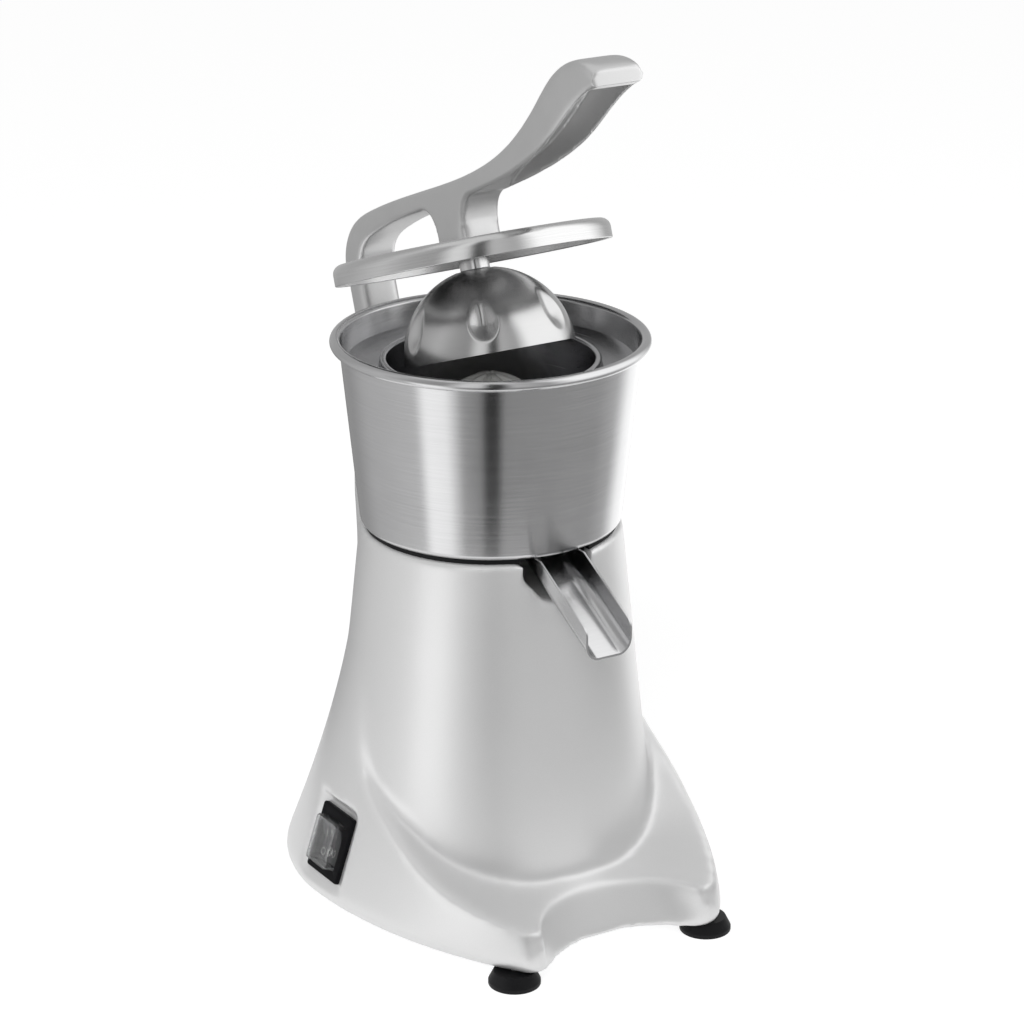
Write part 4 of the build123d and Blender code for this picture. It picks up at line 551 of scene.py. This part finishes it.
given = group("pierced_ring", RING_INPUTS)
holes = {0: given, 1: ring_of(given)}
sieve_tree = close(given, given.node("GeometryNodeMeshBoolean", {"operation": "DIFFERENCE"}, holes))

given = group("ring_of_pieces", RING_INPUTS)
ring_tree = close(given, ring_of(given))


def through(tree, obj, values):
    """Runs a tree on an object and gives back a plain mesh."""
    modifier = obj.modifiers.new(tree.name, "NODES")
    modifier.node_group = tree
    set_inputs(modifier, values)
    obj.update_tag()
    return evaluated(obj)


print("trees:", sieve_tree.name, ring_tree.name)

# %% [markdown]
# The strainer's sheet is one closed outline, down the inside and back up the outside, a millimetre apart. A
# slot cutter is a flat outline with round ends, pushed up through the floor. The tree places it thirty
# times.

# %% Strainer
SLOTS = 30
SLOT_LENGTH = 18
SLOT_END_RADIUS = 1
SLOT_CIRCLE = 38.0
CUTTER_FOOT_Z = 243
CUTTER_HEIGHT = 5
strainer_outline = rounded([
    (77.67, 297.5), (58.8, 293.5, 0.8), (58.8, 299.5, 1.5), (55.2, 299.5, 1.5), (52.5, 246, 2.0),
    (24.5, 246, 0.8), (24.5, 249, 0.4), (23.5, 249, 0.4), (23.5, 245, 0.8), (53.5, 245, 3.0),
    (56.2, 298.5, 0.6), (57.8, 298.5, 0.6), (57.8, 292.5, 0.6), (77.67, 296.5),
])


def pushed(points, way):
    """bmesh of a flat outline in mm, pushed along a vector in mm."""
    bm = bmesh.new()
    face = bm.faces.new([bm.verts.new([c * MM for c in point]) for point in points])
    grown = bmesh.ops.extrude_face_region(bm, geom=[face])
    for item in grown["geom"]:
        if isinstance(item, bmesh.types.BMVert):
            item.co += Vector(way) * MM
    return bm


slot_end = SLOT_LENGTH / 2 - SLOT_END_RADIUS
far_end = arc((slot_end, 0), SLOT_END_RADIUS, -90, 90, 6)
near_end = arc((-slot_end, 0), SLOT_END_RADIUS, 90, 270, 6)
slot_outline = [(x, y, CUTTER_FOOT_Z) for x, y in far_end + near_end]
slot_cutter = loose("slot_cutter", pushed(slot_outline, (0, 0, CUTTER_HEIGHT)))
sheet_body = loose("strainer_sheet", lathe(strainer_outline))
strainer_mesh = through(sieve_tree, sheet_body, {
    "Count": SLOTS, "Radius": SLOT_CIRCLE * MM, "Start": 0.0, "Piece": slot_cutter,
    "Finish": finishes["strainer_stainless"],
})
piece_of("strainer_dressed", strainer_mesh, "stand", "strainer_stainless", ["strainer"])
bpy.data.objects.remove(slot_cutter)

# %% [markdown]
# The reamer turns with the drive and squeezes the fruit: a bulging core with eight ribs that rise to a
# small nose. One rib is drawn as a blade with rounded edges, the ring tree repeats it, and the turned core
# is joined to the ribs in one mesh, because the real one is a single moulding.

# %% Reamer
REAMER_FOOT_Z = 255.5
REAMER_TOP_Z = 290
RIBS = 8
RIB_THICKNESS = 3.2
RIB_EASE = 1.3
REAMER_STEPS = 128
EASE_STEPS = 3
STEERING = 0.05
core_outline = rounded([
    (0, 289.2), (0, 262.4), (0.02, 262.4), (0.02, 246), (18.4, 246, 0.4), (18.4, 232, 0.6), (20.8, 232, 0.6),
    (20.8, 252, 0.8), (38.5, 252, 1.2), (38.5, REAMER_FOOT_Z, 1.4),
]) + arc_through((26, REAMER_FOOT_Z), (18.7, 274.5), (4, 289), 24)
# Corners this close to the axis only steer the rounding next to them, so they are left out.
core = lathe([p for p in core_outline if not 0 < p[0] < STEERING], steps=REAMER_STEPS)
crest = arc_through((35, REAMER_FOOT_Z), (25.9, 276.2), (4, REAMER_TOP_Z), 20)
blade = [(2, REAMER_FOOT_Z)] + crest + [(2, REAMER_TOP_Z)]
rib = pushed([(x, -RIB_THICKNESS / 2, z) for x, z in blade], (0, RIB_THICKNESS, 0))
rib_piece = loose("rib", rib)
ease = rib_piece.modifiers.new("ease", "BEVEL")
ease.width = RIB_EASE * MM
ease.segments = EASE_STEPS
rib_piece = loose("rib_eased", evaluated(rib_piece))
holder = loose("ribs", bpy.data.meshes.new("ribs"))
ribs = through(ring_tree, holder, {
    "Count": RIBS, "Radius": 0.0, "Start": 0.0, "Piece": rib_piece, "Finish": finishes["reamer_plastic"],
})
core.from_mesh(ribs)
bpy.data.objects.remove(rib_piece)
piece_from("reamer_dressed", core, "drive", "reamer_plastic", ["reamer_cone", "reamer_skirt"])

# %% [markdown]
# The splash disc, the stem and the dome are turned on the leaning press axis. The disc is a spun sheet with a
# rim folded down, and the stem a polished bar. Heights are measured along the axis from the hinge's level.

# %% Disc and stem
DISC_FOOT = 28.3
STEM_STEPS = 96
disc = lathe(rounded([
    (5.05, 39.5), (74.3, 39.5, 5.0), (74.3, DISC_FOOT, 0.6), (72.9, DISC_FOOT, 0.6), (72.9, 38.1, 3.6),
    (5.05, 38.1),
]), PRESS)
piece_from("press_disc_dressed", disc, "lever", "spun_stainless", ["press_disc"])
stem = lathe(rounded([
    (0, 16.1), (4, 16.1, 0.5), (4, 24.3), (8, 24.3, 0.6), (8, 38.1, 0.3), (5, 38.1), (5, 60, 0.5), (0, 60),
]), PRESS, STEM_STEPS)
piece_from("press_stem_dressed", stem, "lever", "polished_steel", ["press_stem"])

# %% [markdown]
# The dome is a half ball of thick sheet with six dimples pressed in, so that the fruit can't turn under it.
# Each dimple is a drop: round below and drawn out above. The ball is swept finely, and every point inside a
# drop moves inwards by a smooth depth, on both faces of the sheet, so the wall keeps its thickness.

# %% Dome with dimples
DOME_RADIUS = 45.7
DOME_SHEET = 2.2
DOME_FOOT = -20.2
DOME_TOP = 24.3
DOME_STEPS = 360
STEM_HOLE = 4.05
OUTER_STEPS = 110
INNER_STEPS = 70
DIMPLES = 6
DIMPLE_TURN = math.radians(59)
DIMPLE_DEPTH = 3.6
DIMPLE_LIFT = math.radians(21)
DIMPLE_HALF_WIDTH = 8.6
DIMPLE_DOWN = 11.5
DIMPLE_UP = 16.0
DIMPLE_TAPER = 0.3
DIMPLE_EASE = 1.6
PLAIN_RADIUS = 12


def ball_arc(radius, top, steps):
    """Points of the ball's face in mm, from its equator up to a height."""
    high = math.degrees(math.asin((top - DOME_FOOT) / radius))
    return arc((0, DOME_FOOT), radius, 0, high, steps)


def drop_depth(turn, lift):
    """Depth of the dimples in mm at an azimuth and a height angle on the ball."""
    pitch = 2 * math.pi / DIMPLES
    side = (turn - DIMPLE_TURN + pitch / 2) % pitch - pitch / 2
    across = side * math.cos(lift) * DOME_RADIUS / DIMPLE_HALF_WIDTH
    along = (lift - DIMPLE_LIFT) * DOME_RADIUS
    along = along / DIMPLE_UP if along > 0 else along / DIMPLE_DOWN
    reach = math.hypot(across * (1 + DIMPLE_TAPER * max(along, 0)), along)
    return DIMPLE_DEPTH * max(1 - reach * reach, 0) ** DIMPLE_EASE


outer_face = ball_arc(DOME_RADIUS, DOME_TOP, OUTER_STEPS)
inner_face = ball_arc(DOME_RADIUS - DOME_SHEET, DOME_TOP - DOME_SHEET, INNER_STEPS)
hole = [(STEM_HOLE, DOME_TOP), (STEM_HOLE, DOME_TOP - DOME_SHEET)]
dome = lathe(outer_face + hole + inner_face[::-1], steps=DOME_STEPS)
for vertex in dome.verts:
    spot = vertex.co / MM - Vector((0, 0, DOME_FOOT))
    reach = spot.length
    if math.hypot(spot.x, spot.y) > PLAIN_RADIUS:
        depth = drop_depth(math.atan2(spot.y, spot.x), math.asin(spot.z / reach))
        vertex.co -= spot * (depth / reach * MM)
dome.transform(PRESS)
piece_from("press_cup_dressed", dome, "lever", "dome_stainless", ["press_cup"])

# %% [markdown]
# The two castings have no sharp edge anywhere: sand and paint round every ridge. Their solids are exact but
# crisp, so a copy is remeshed into even little faces and relaxed, which rounds ridges and hollows alike.
# The lever's back is polished rounder than the lip of its hollow, so it is relaxed again by a share of each
# vertex.

# %% Soft skins of the castings
WELD = 0.002 * MM
RELAX_STEP = 0.5
LEVER_NODES = ["lever_arm", "press_hub"]
LEVER_VOXEL = 0.75 * MM
LEVER_PASSES = 8
LEVER_ROUNDING = 110
SIDE_SPAN = 0.3
SIDE_SHARE = 0.6
CASTING_ANGLE = 60


def merged_copy(name, *nodes):
    """A welded copy of the meshes of CAD nodes."""
    bm = bmesh.new()
    for node in nodes:
        bm.from_mesh(frame["nodes"][node].data)
    bmesh.ops.remove_doubles(bm, verts=bm.verts, dist=WELD)
    return loose(name, bm)


def relax(obj, passes):
    """A Smooth modifier on an object."""
    smooth = obj.modifiers.new("relax", "SMOOTH")
    smooth.factor = RELAX_STEP
    smooth.iterations = passes
    return smooth


def soft_skin(name, nodes, voxel, passes):
    """One remeshed and relaxed skin round CAD nodes."""
    copy = merged_copy(name, *nodes)
    even = copy.modifiers.new("even", "REMESH")
    even.mode = "VOXEL"
    even.voxel_size = voxel
    relax(copy, passes)
    return evaluated(copy)


def relaxed_by_share(mesh, passes, share):
    """A mesh relaxed further, by a share from 0 to 1 that a function gives for each vertex."""
    copy = loose("relaxing", mesh)
    shares = copy.vertex_groups.new(name="share")
    for vertex in mesh.vertices:
        shares.add([vertex.index], share(vertex), "REPLACE")
    relax(copy, passes).vertex_group = shares.name
    return evaluated(copy)


lever_up = press_turn.to_3x3() @ Vector((0, 0, 1))


def upper_side(vertex):
    """1 on the lever's back and sides, 0 under it, where the hollow's lip stays thin and crisp."""
    return min(max(vertex.normal.dot(lever_up) / SIDE_SPAN + SIDE_SHARE, 0), 1)


lever_mesh = soft_skin("lever_skin", LEVER_NODES, LEVER_VOXEL, LEVER_PASSES)
lever_mesh = relaxed_by_share(lever_mesh, LEVER_ROUNDING, upper_side)
piece_of("lever_arm_dressed", lever_mesh, "lever", "cast_aluminium", LEVER_NODES, CASTING_ANGLE)

# %% [markdown]
# On the housing the same thing makes the ledge between cone and legs run out softly. The foot of the bell
# and the tips of the legs are relaxed less. The top with its notch, and the flats of the switch and the
# gland, are hardly relaxed. The fork at the column's head is left alone, so that it stays clear of the
# lever.

# %% Soft ledge of the housing
HOUSING_VOXEL = 2.1 * MM
HOUSING_PASSES = 2
HOUSING_ROUNDING = 38
EDGE_SHARE = 0.42
RIM_SHARE = 0.1
SWITCH_SPOT = Vector((-98, 3, 39.5)) * MM
SWITCH_FLAT = (30, 45)
GLAND_SPOT = Vector((48, 100, 30)) * MM
GLAND_FLAT = (22, 35)
LEDGE_Z = (14, 28)
LEDGE_Y = (-112, -95)
TOP_Z = (190, 165)
FORK_Z = (250, 230)


def fade(value, start, end):
    """0 at start and 1 at end, in mm, and straight between them. Start may be above end."""
    return min(max((value / MM - start) / (end - start), 0), 1)


def soft_part(vertex):
    """1 along the ledge, less at the foot and the flats, and 0 at the fork."""
    spot = vertex.co
    flats = fade((spot - SWITCH_SPOT).length, *SWITCH_FLAT) * fade((spot - GLAND_SPOT).length, *GLAND_FLAT)
    ledge = fade(spot.z, *LEDGE_Z) * fade(spot.y, *LEDGE_Y)
    soft = flats * fade(spot.z, *TOP_Z) * (EDGE_SHARE + (1 - EDGE_SHARE) * ledge)
    return max(soft, RIM_SHARE) * fade(spot.z, *FORK_Z)


housing_mesh = soft_skin("housing_skin", ["housing"], HOUSING_VOXEL, HOUSING_PASSES)
housing_mesh = relaxed_by_share(housing_mesh, HOUSING_ROUNDING, soft_part)
piece_of("housing_dressed", housing_mesh, "stand", "silver_paint", ["housing"], CASTING_ANGLE)

# %% [markdown]
# The four rubber feet are the same moulding, flared to a lip that grips the counter. One is turned, and a
# tree stamps it on four points, the vertices of a small mesh.

# %% Feet
FOOT_NODES = ["foot_front_left", "foot_front_right", "foot_rear_left", "foot_rear_right"]
FOOT_STEPS = 64
given = group("feet_on_points", PIECE_INPUTS)
foot_tree = close(given, stamped(given, given))
foot_outline = rounded([
    (4.4, 0, 0.4), (13.8, 0, 0.8), (13.8, 2.5, 0.9), (11, 8, 0.3), (2.05, 8), (2.05, 5.0), (4.4, 5.0),
])
foot = loose("foot", lathe(foot_outline, steps=FOOT_STEPS))
spots = bpy.data.meshes.new("foot_spots")
corners = [[Vector(c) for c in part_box(node)] for node in FOOT_NODES]
spots.from_pydata([((low + high) / 2).xy.to_3d() for low, high in corners], [], [])
feet_mesh = through(foot_tree, loose("feet", spots), {"Piece": foot, "Finish": finishes["black_rubber"]})
bpy.data.objects.remove(foot)
piece_of("rubber_feet", feet_mesh, "stand", "black_rubber", FOOT_NODES)

# %% [markdown]
# Smaller hard pieces keep the exact shape of their solids, with edges eased by a fraction of a millimetre
# so that they catch a line of light. A Bevel limited by angle does that on a welded copy.

# %% Eased pieces
FLAT_ANGLE = math.radians(0.3)
EDGE_ANGLE = math.radians(30)
EASED_ANGLE = 35


def eased(node, body, slot, width):
    """A copy of a CAD node with its sharp edges rounded by width mm."""
    copy = merged_copy(node + "_copy", node)
    bm = bmesh.new()
    bm.from_mesh(copy.data)
    bmesh.ops.dissolve_limit(bm, angle_limit=FLAT_ANGLE, verts=bm.verts, edges=bm.edges)
    bm.to_mesh(copy.data)
    bm.free()
    bevel = copy.modifiers.new("ease", "BEVEL")
    bevel.width = width * MM
    bevel.segments = EASE_STEPS
    bevel.limit_method = "ANGLE"
    bevel.angle_limit = EDGE_ANGLE
    piece_of(node + "_dressed", evaluated(copy), body, slot, [node], EASED_ANGLE)


eased("spout", "stand", "brushed_stainless", 0.35)
eased("switch_frame", "stand", "black_plastic", 0.3)
eased("switch_rocker", "rocker", "rocker_plastic", 0.4)
eased("hinge_pin", "stand", "polished_steel", 0.15)
eased("cord_gland", "stand", "black_plastic", 0.3)

# %% [markdown]
# The rocker carries the two plain marks of a mains switch, a bar for on and a ring for off. They are
# printed, so they are a tenth of a millimetre thick. A ray sent in through the switch finds the rocker's
# face under each mark, so the marks lie on the face however the rocker leans.

# %% Marks on the rocker
SWITCH_TILT = math.radians(18.9)
MARK_OFFSET = 5.2 * MM
MARK_SINK = 0.05
RING_MARK = (1.5, 2.2)
BAR_MARK = (0.8, 4.2)
MARK_STEPS = 48
RAY_REACH = 0.05
panel_out = Vector((-math.cos(SWITCH_TILT), 0, math.sin(SWITCH_TILT)))
panel_up = Vector((math.sin(SWITCH_TILT), 0, math.cos(SWITCH_TILT)))
rocker = frame["nodes"]["switch_rocker"].data
rocker_face = BVHTree.FromPolygons([v.co for v in rocker.vertices], [p.vertices for p in rocker.polygons])


def on_rocker(offset):
    """Matrix that stands on the rocker's face, offset along the panel: Z out of the face, Y up it."""
    start = SWITCH_SPOT + panel_up * offset + panel_out * RAY_REACH
    spot, out = rocker_face.ray_cast(start, -panel_out)[:2]
    side = Vector((0, -1, 0))
    axes = Matrix((side, out.cross(side), out)).transposed().to_4x4()
    return Matrix.Translation(spot) @ axes


inside, outside = RING_MARK
ring_outline = [(inside, -MARK_SINK), (outside, -MARK_SINK), (outside, MARK_SINK), (inside, MARK_SINK)]
ring_mark = lathe(ring_outline, on_rocker(-MARK_OFFSET), MARK_STEPS)
bar_mark = block((*BAR_MARK, 2 * MARK_SINK), (0, 0, 0))
bar_mark.transform(on_rocker(MARK_OFFSET))
ring_mark.from_mesh(mesh_of("bar_mark", bar_mark))
piece_from("switch_marks", ring_mark, "rocker", "white_plastic", [])

# %% [markdown]
# Everything else keeps its solid: the motor, the brackets, the fasteners and the electrical pieces inside.
# Each takes the finish that the record gives its node, so that the inside is as true as the outside.

# %% Finishes for the nodes that stay
slot_of = {row["node"]: row["material_slot"] for row in frame["record"]["subparts"]}
for name, node in frame["nodes"].items():
    node.data.materials.clear()
    node.data.materials.append(finishes[slot_of[name]])
print("nodes dressed:", len(slot_of))

# %% [markdown]
# The stage is a pale floor and a white surround. The floor stays pale for the camera and takes the shadow.
# Polished metal shows what stands round it, so a tent of screens, seen only by reflections, gives the bowl
# its bright and dark bands: white cloth on both sides and a dark slit where the lens looks in.

# %% Floor and surround
VIEW_TURN = math.radians(238.5)
SCREEN_RADIUS = 0.30
SCREEN_HEIGHT = 0.8
LOW_SCREENS = [
    (0.0, 0.9), (0.06, 0.3), (0.14, 0.4), (0.2, 0.6), (0.345, 0.75), (0.365, 1.5), (0.41, 1.4), (0.445, 0.45),
    (0.48, 0.3), (0.493, 0.02), (0.513, 0.02), (0.53, 0.36), (0.74, 0.42), (0.8, 0.6), (0.85, 1.4),
    (0.92, 1.4), (0.95, 0.9),
]
HIGH_SCREENS = [
    (0.0, 0.5), (0.2, 0.5), (0.3, 0.7), (0.36, 0.5), (0.42, 0.4), (0.455, 1.0), (0.485, 0.9), (0.5, 0.05),
    (0.52, 0.05), (0.54, 0.7), (0.6, 0.5), (0.65, 1.5), (0.8, 1.5), (0.87, 0.5), (1.0, 0.5),
]
SCREEN_SEAM = (0.20, 0.30)
FLOOR_REACH = 6
FLOOR_PLAIN = (*grey(0.8), 1)
FLOOR_PALE = (*grey(0.45), 1)
FLOOR_GLOW = 0.82


def stage_piece(name, points, faces):
    """A piece of the stage with a material of its own, and that material's tree, emptied."""
    mesh = bpy.data.meshes.new(name)
    mesh.from_pydata(points, [], faces)
    paint = bpy.data.materials.new(name)
    paint.use_nodes = True
    paint.node_tree.nodes.clear()
    mesh.materials.append(paint)
    piece = bpy.data.objects.new(name, mesh)
    scene.collection.objects.link(piece)
    return piece, Wire(paint.node_tree)


def seen(wire):
    """1 for rays from the lens and for those that metal and clear plastic send out, 0 for other light."""
    lens = wire.node("ShaderNodeLightPath", out="Is Camera Ray")
    either = lens.math("MAXIMUM", lens.also("Is Glossy Ray"), lens.also("Is Transmission Ray"))
    return lens.math("MAXIMUM", lens, either)


def show(wire, shader, kind="ShaderNodeOutputMaterial"):
    """Ends a shader tree."""
    wire.tree.links.new(shader.socket, wire.tree.nodes.new(kind).inputs["Surface"])


floor_corners = [(x * FLOOR_REACH, y * FLOOR_REACH, 0) for x, y in ((-1, -1), (1, -1), (1, 1), (-1, 1))]
wire = stage_piece("floor", floor_corners, [(0, 1, 2, 3)])[1]
plain = wire.node("ShaderNodeBsdfDiffuse", None, {"Color": FLOOR_PLAIN})
pale = wire.node("ShaderNodeBsdfDiffuse", None, {"Color": FLOOR_PALE})
glow = wire.node("ShaderNodeEmission", None, {"Strength": FLOOR_GLOW})
bright = wire.node("ShaderNodeAddShader", None, {0: pale, 1: glow})
show(wire, wire.node("ShaderNodeMixShader", None, {0: seen(wire), 1: plain, 2: bright}))

turns = [2 * math.pi * step / RING_STEPS for step in range(RING_STEPS)]
circle = [(SCREEN_RADIUS * math.cos(t), SCREEN_RADIUS * math.sin(t)) for t in turns]
edges = [(x, y, z) for z in (0, SCREEN_HEIGHT) for x, y in circle]
sides = [(step, (step + 1) % RING_STEPS) for step in range(RING_STEPS)]
panels = [(here, after, after + RING_STEPS, here + RING_STEPS) for here, after in sides]
screens, wire = stage_piece("screens", edges, panels)
spot = wire.node("ShaderNodeTexCoord", out="Object")
spot = wire.node("ShaderNodeMapping", None, {"Vector": spot, "Rotation": (0, 0, -VIEW_TURN)})
round_it = wire.node("ShaderNodeTexGradient", {"gradient_type": "RADIAL"}, {"Vector": spot}, "Fac")
low = wire.node("ShaderNodeValToRGB", {"stops": LOW_SCREENS}, {"Fac": round_it})
high = wire.node("ShaderNodeValToRGB", {"stops": HIGH_SCREENS}, {"Fac": round_it})
height = wire.node("ShaderNodeSeparateXYZ", None, {"Vector": spot}, "Z")
seam = {"Value": height, "From Min": SCREEN_SEAM[0], "From Max": SCREEN_SEAM[1]}
share = wire.node("ShaderNodeMapRange", None, seam)
show(wire, wire.node("ShaderNodeEmission", None, {"Color": low + share * (high - low)}))
for sense in ("camera", "diffuse", "transmission", "shadow", "volume_scatter"):
    setattr(screens, "visible_" + sense, False)
print("screens", len(panels), "floor", 2 * FLOOR_REACH, "m")

# %% [markdown]
# The photograph looks down on the front left with a long lens. The camera's place and its three axes were
# fitted once to edges in the photograph, and are written here as plain numbers. A long lens far away keeps
# the bowl's rim and floor nearly the same width, as a close wide lens would not.

# %% Camera
SENSOR_MM = 36
LENS_MM = 122.8
SIGHT = 50
CAMERA_PLACE = (-0.91058, -1.50770, 0.84852)
CAMERA_RIGHT = (0.85267, -0.52245, 0)
CAMERA_UP = (0.17766, 0.28996, 0.94040)
CAMERA_BACK = (-0.49131, -0.80186, 0.34006)
camera_data = bpy.data.cameras.new("camera")
camera_data.sensor_width = SENSOR_MM
camera_data.lens = LENS_MM
camera_data.clip_end = SIGHT
camera = bpy.data.objects.new("camera", camera_data)
scene.collection.objects.link(camera)
camera_axes = Matrix((CAMERA_RIGHT, CAMERA_UP, CAMERA_BACK)).transposed().to_4x4()
camera.matrix_world = Matrix.Translation(CAMERA_PLACE) @ camera_axes
scene.camera = camera
print("camera at", [round(c, 3) for c in camera.location])

# %% [markdown]
# Studio light is soft. A large key lamp stands above the lens and a little to its left and models the cone, a
# weak fill keeps the right side open, and an even sky fills the rest. The lamps are kept out of reflections,
# where the screens do that work. Standard view keeps a colour about as it is written.

# %% Lights
scene.view_settings.view_transform = "Standard"
SKY_LIGHT = 0.38
LAMP_AIM = Vector((0, 0, 0.2))
world = bpy.data.worlds.new("surround")
scene.world = world
world.use_nodes = True
world.node_tree.nodes.clear()
wire = Wire(world.node_tree)
sky = wire.node("ShaderNodeBackground", None, {"Strength": SKY_LIGHT + seen(wire) * (1 - SKY_LIGHT)})
show(wire, sky, "ShaderNodeOutputWorld")


def softbox(name, place, size, power):
    """A square lamp that faces the juicer."""
    data = bpy.data.lights.new(name, "AREA")
    data.size = size
    data.energy = power
    lamp = bpy.data.objects.new(name, data)
    lamp.location = place
    lamp.rotation_euler = (LAMP_AIM - Vector(place)).to_track_quat("-Z", "Y").to_euler()
    lamp.visible_glossy = False
    scene.collection.objects.link(lamp)


softbox("key", place=(-1.28, -1.28, 1.6), size=1.2, power=26)
softbox("fill", place=(1.5, -1.2, 1.0), size=1.4, power=4)
print("lamps:", len(bpy.data.lights))
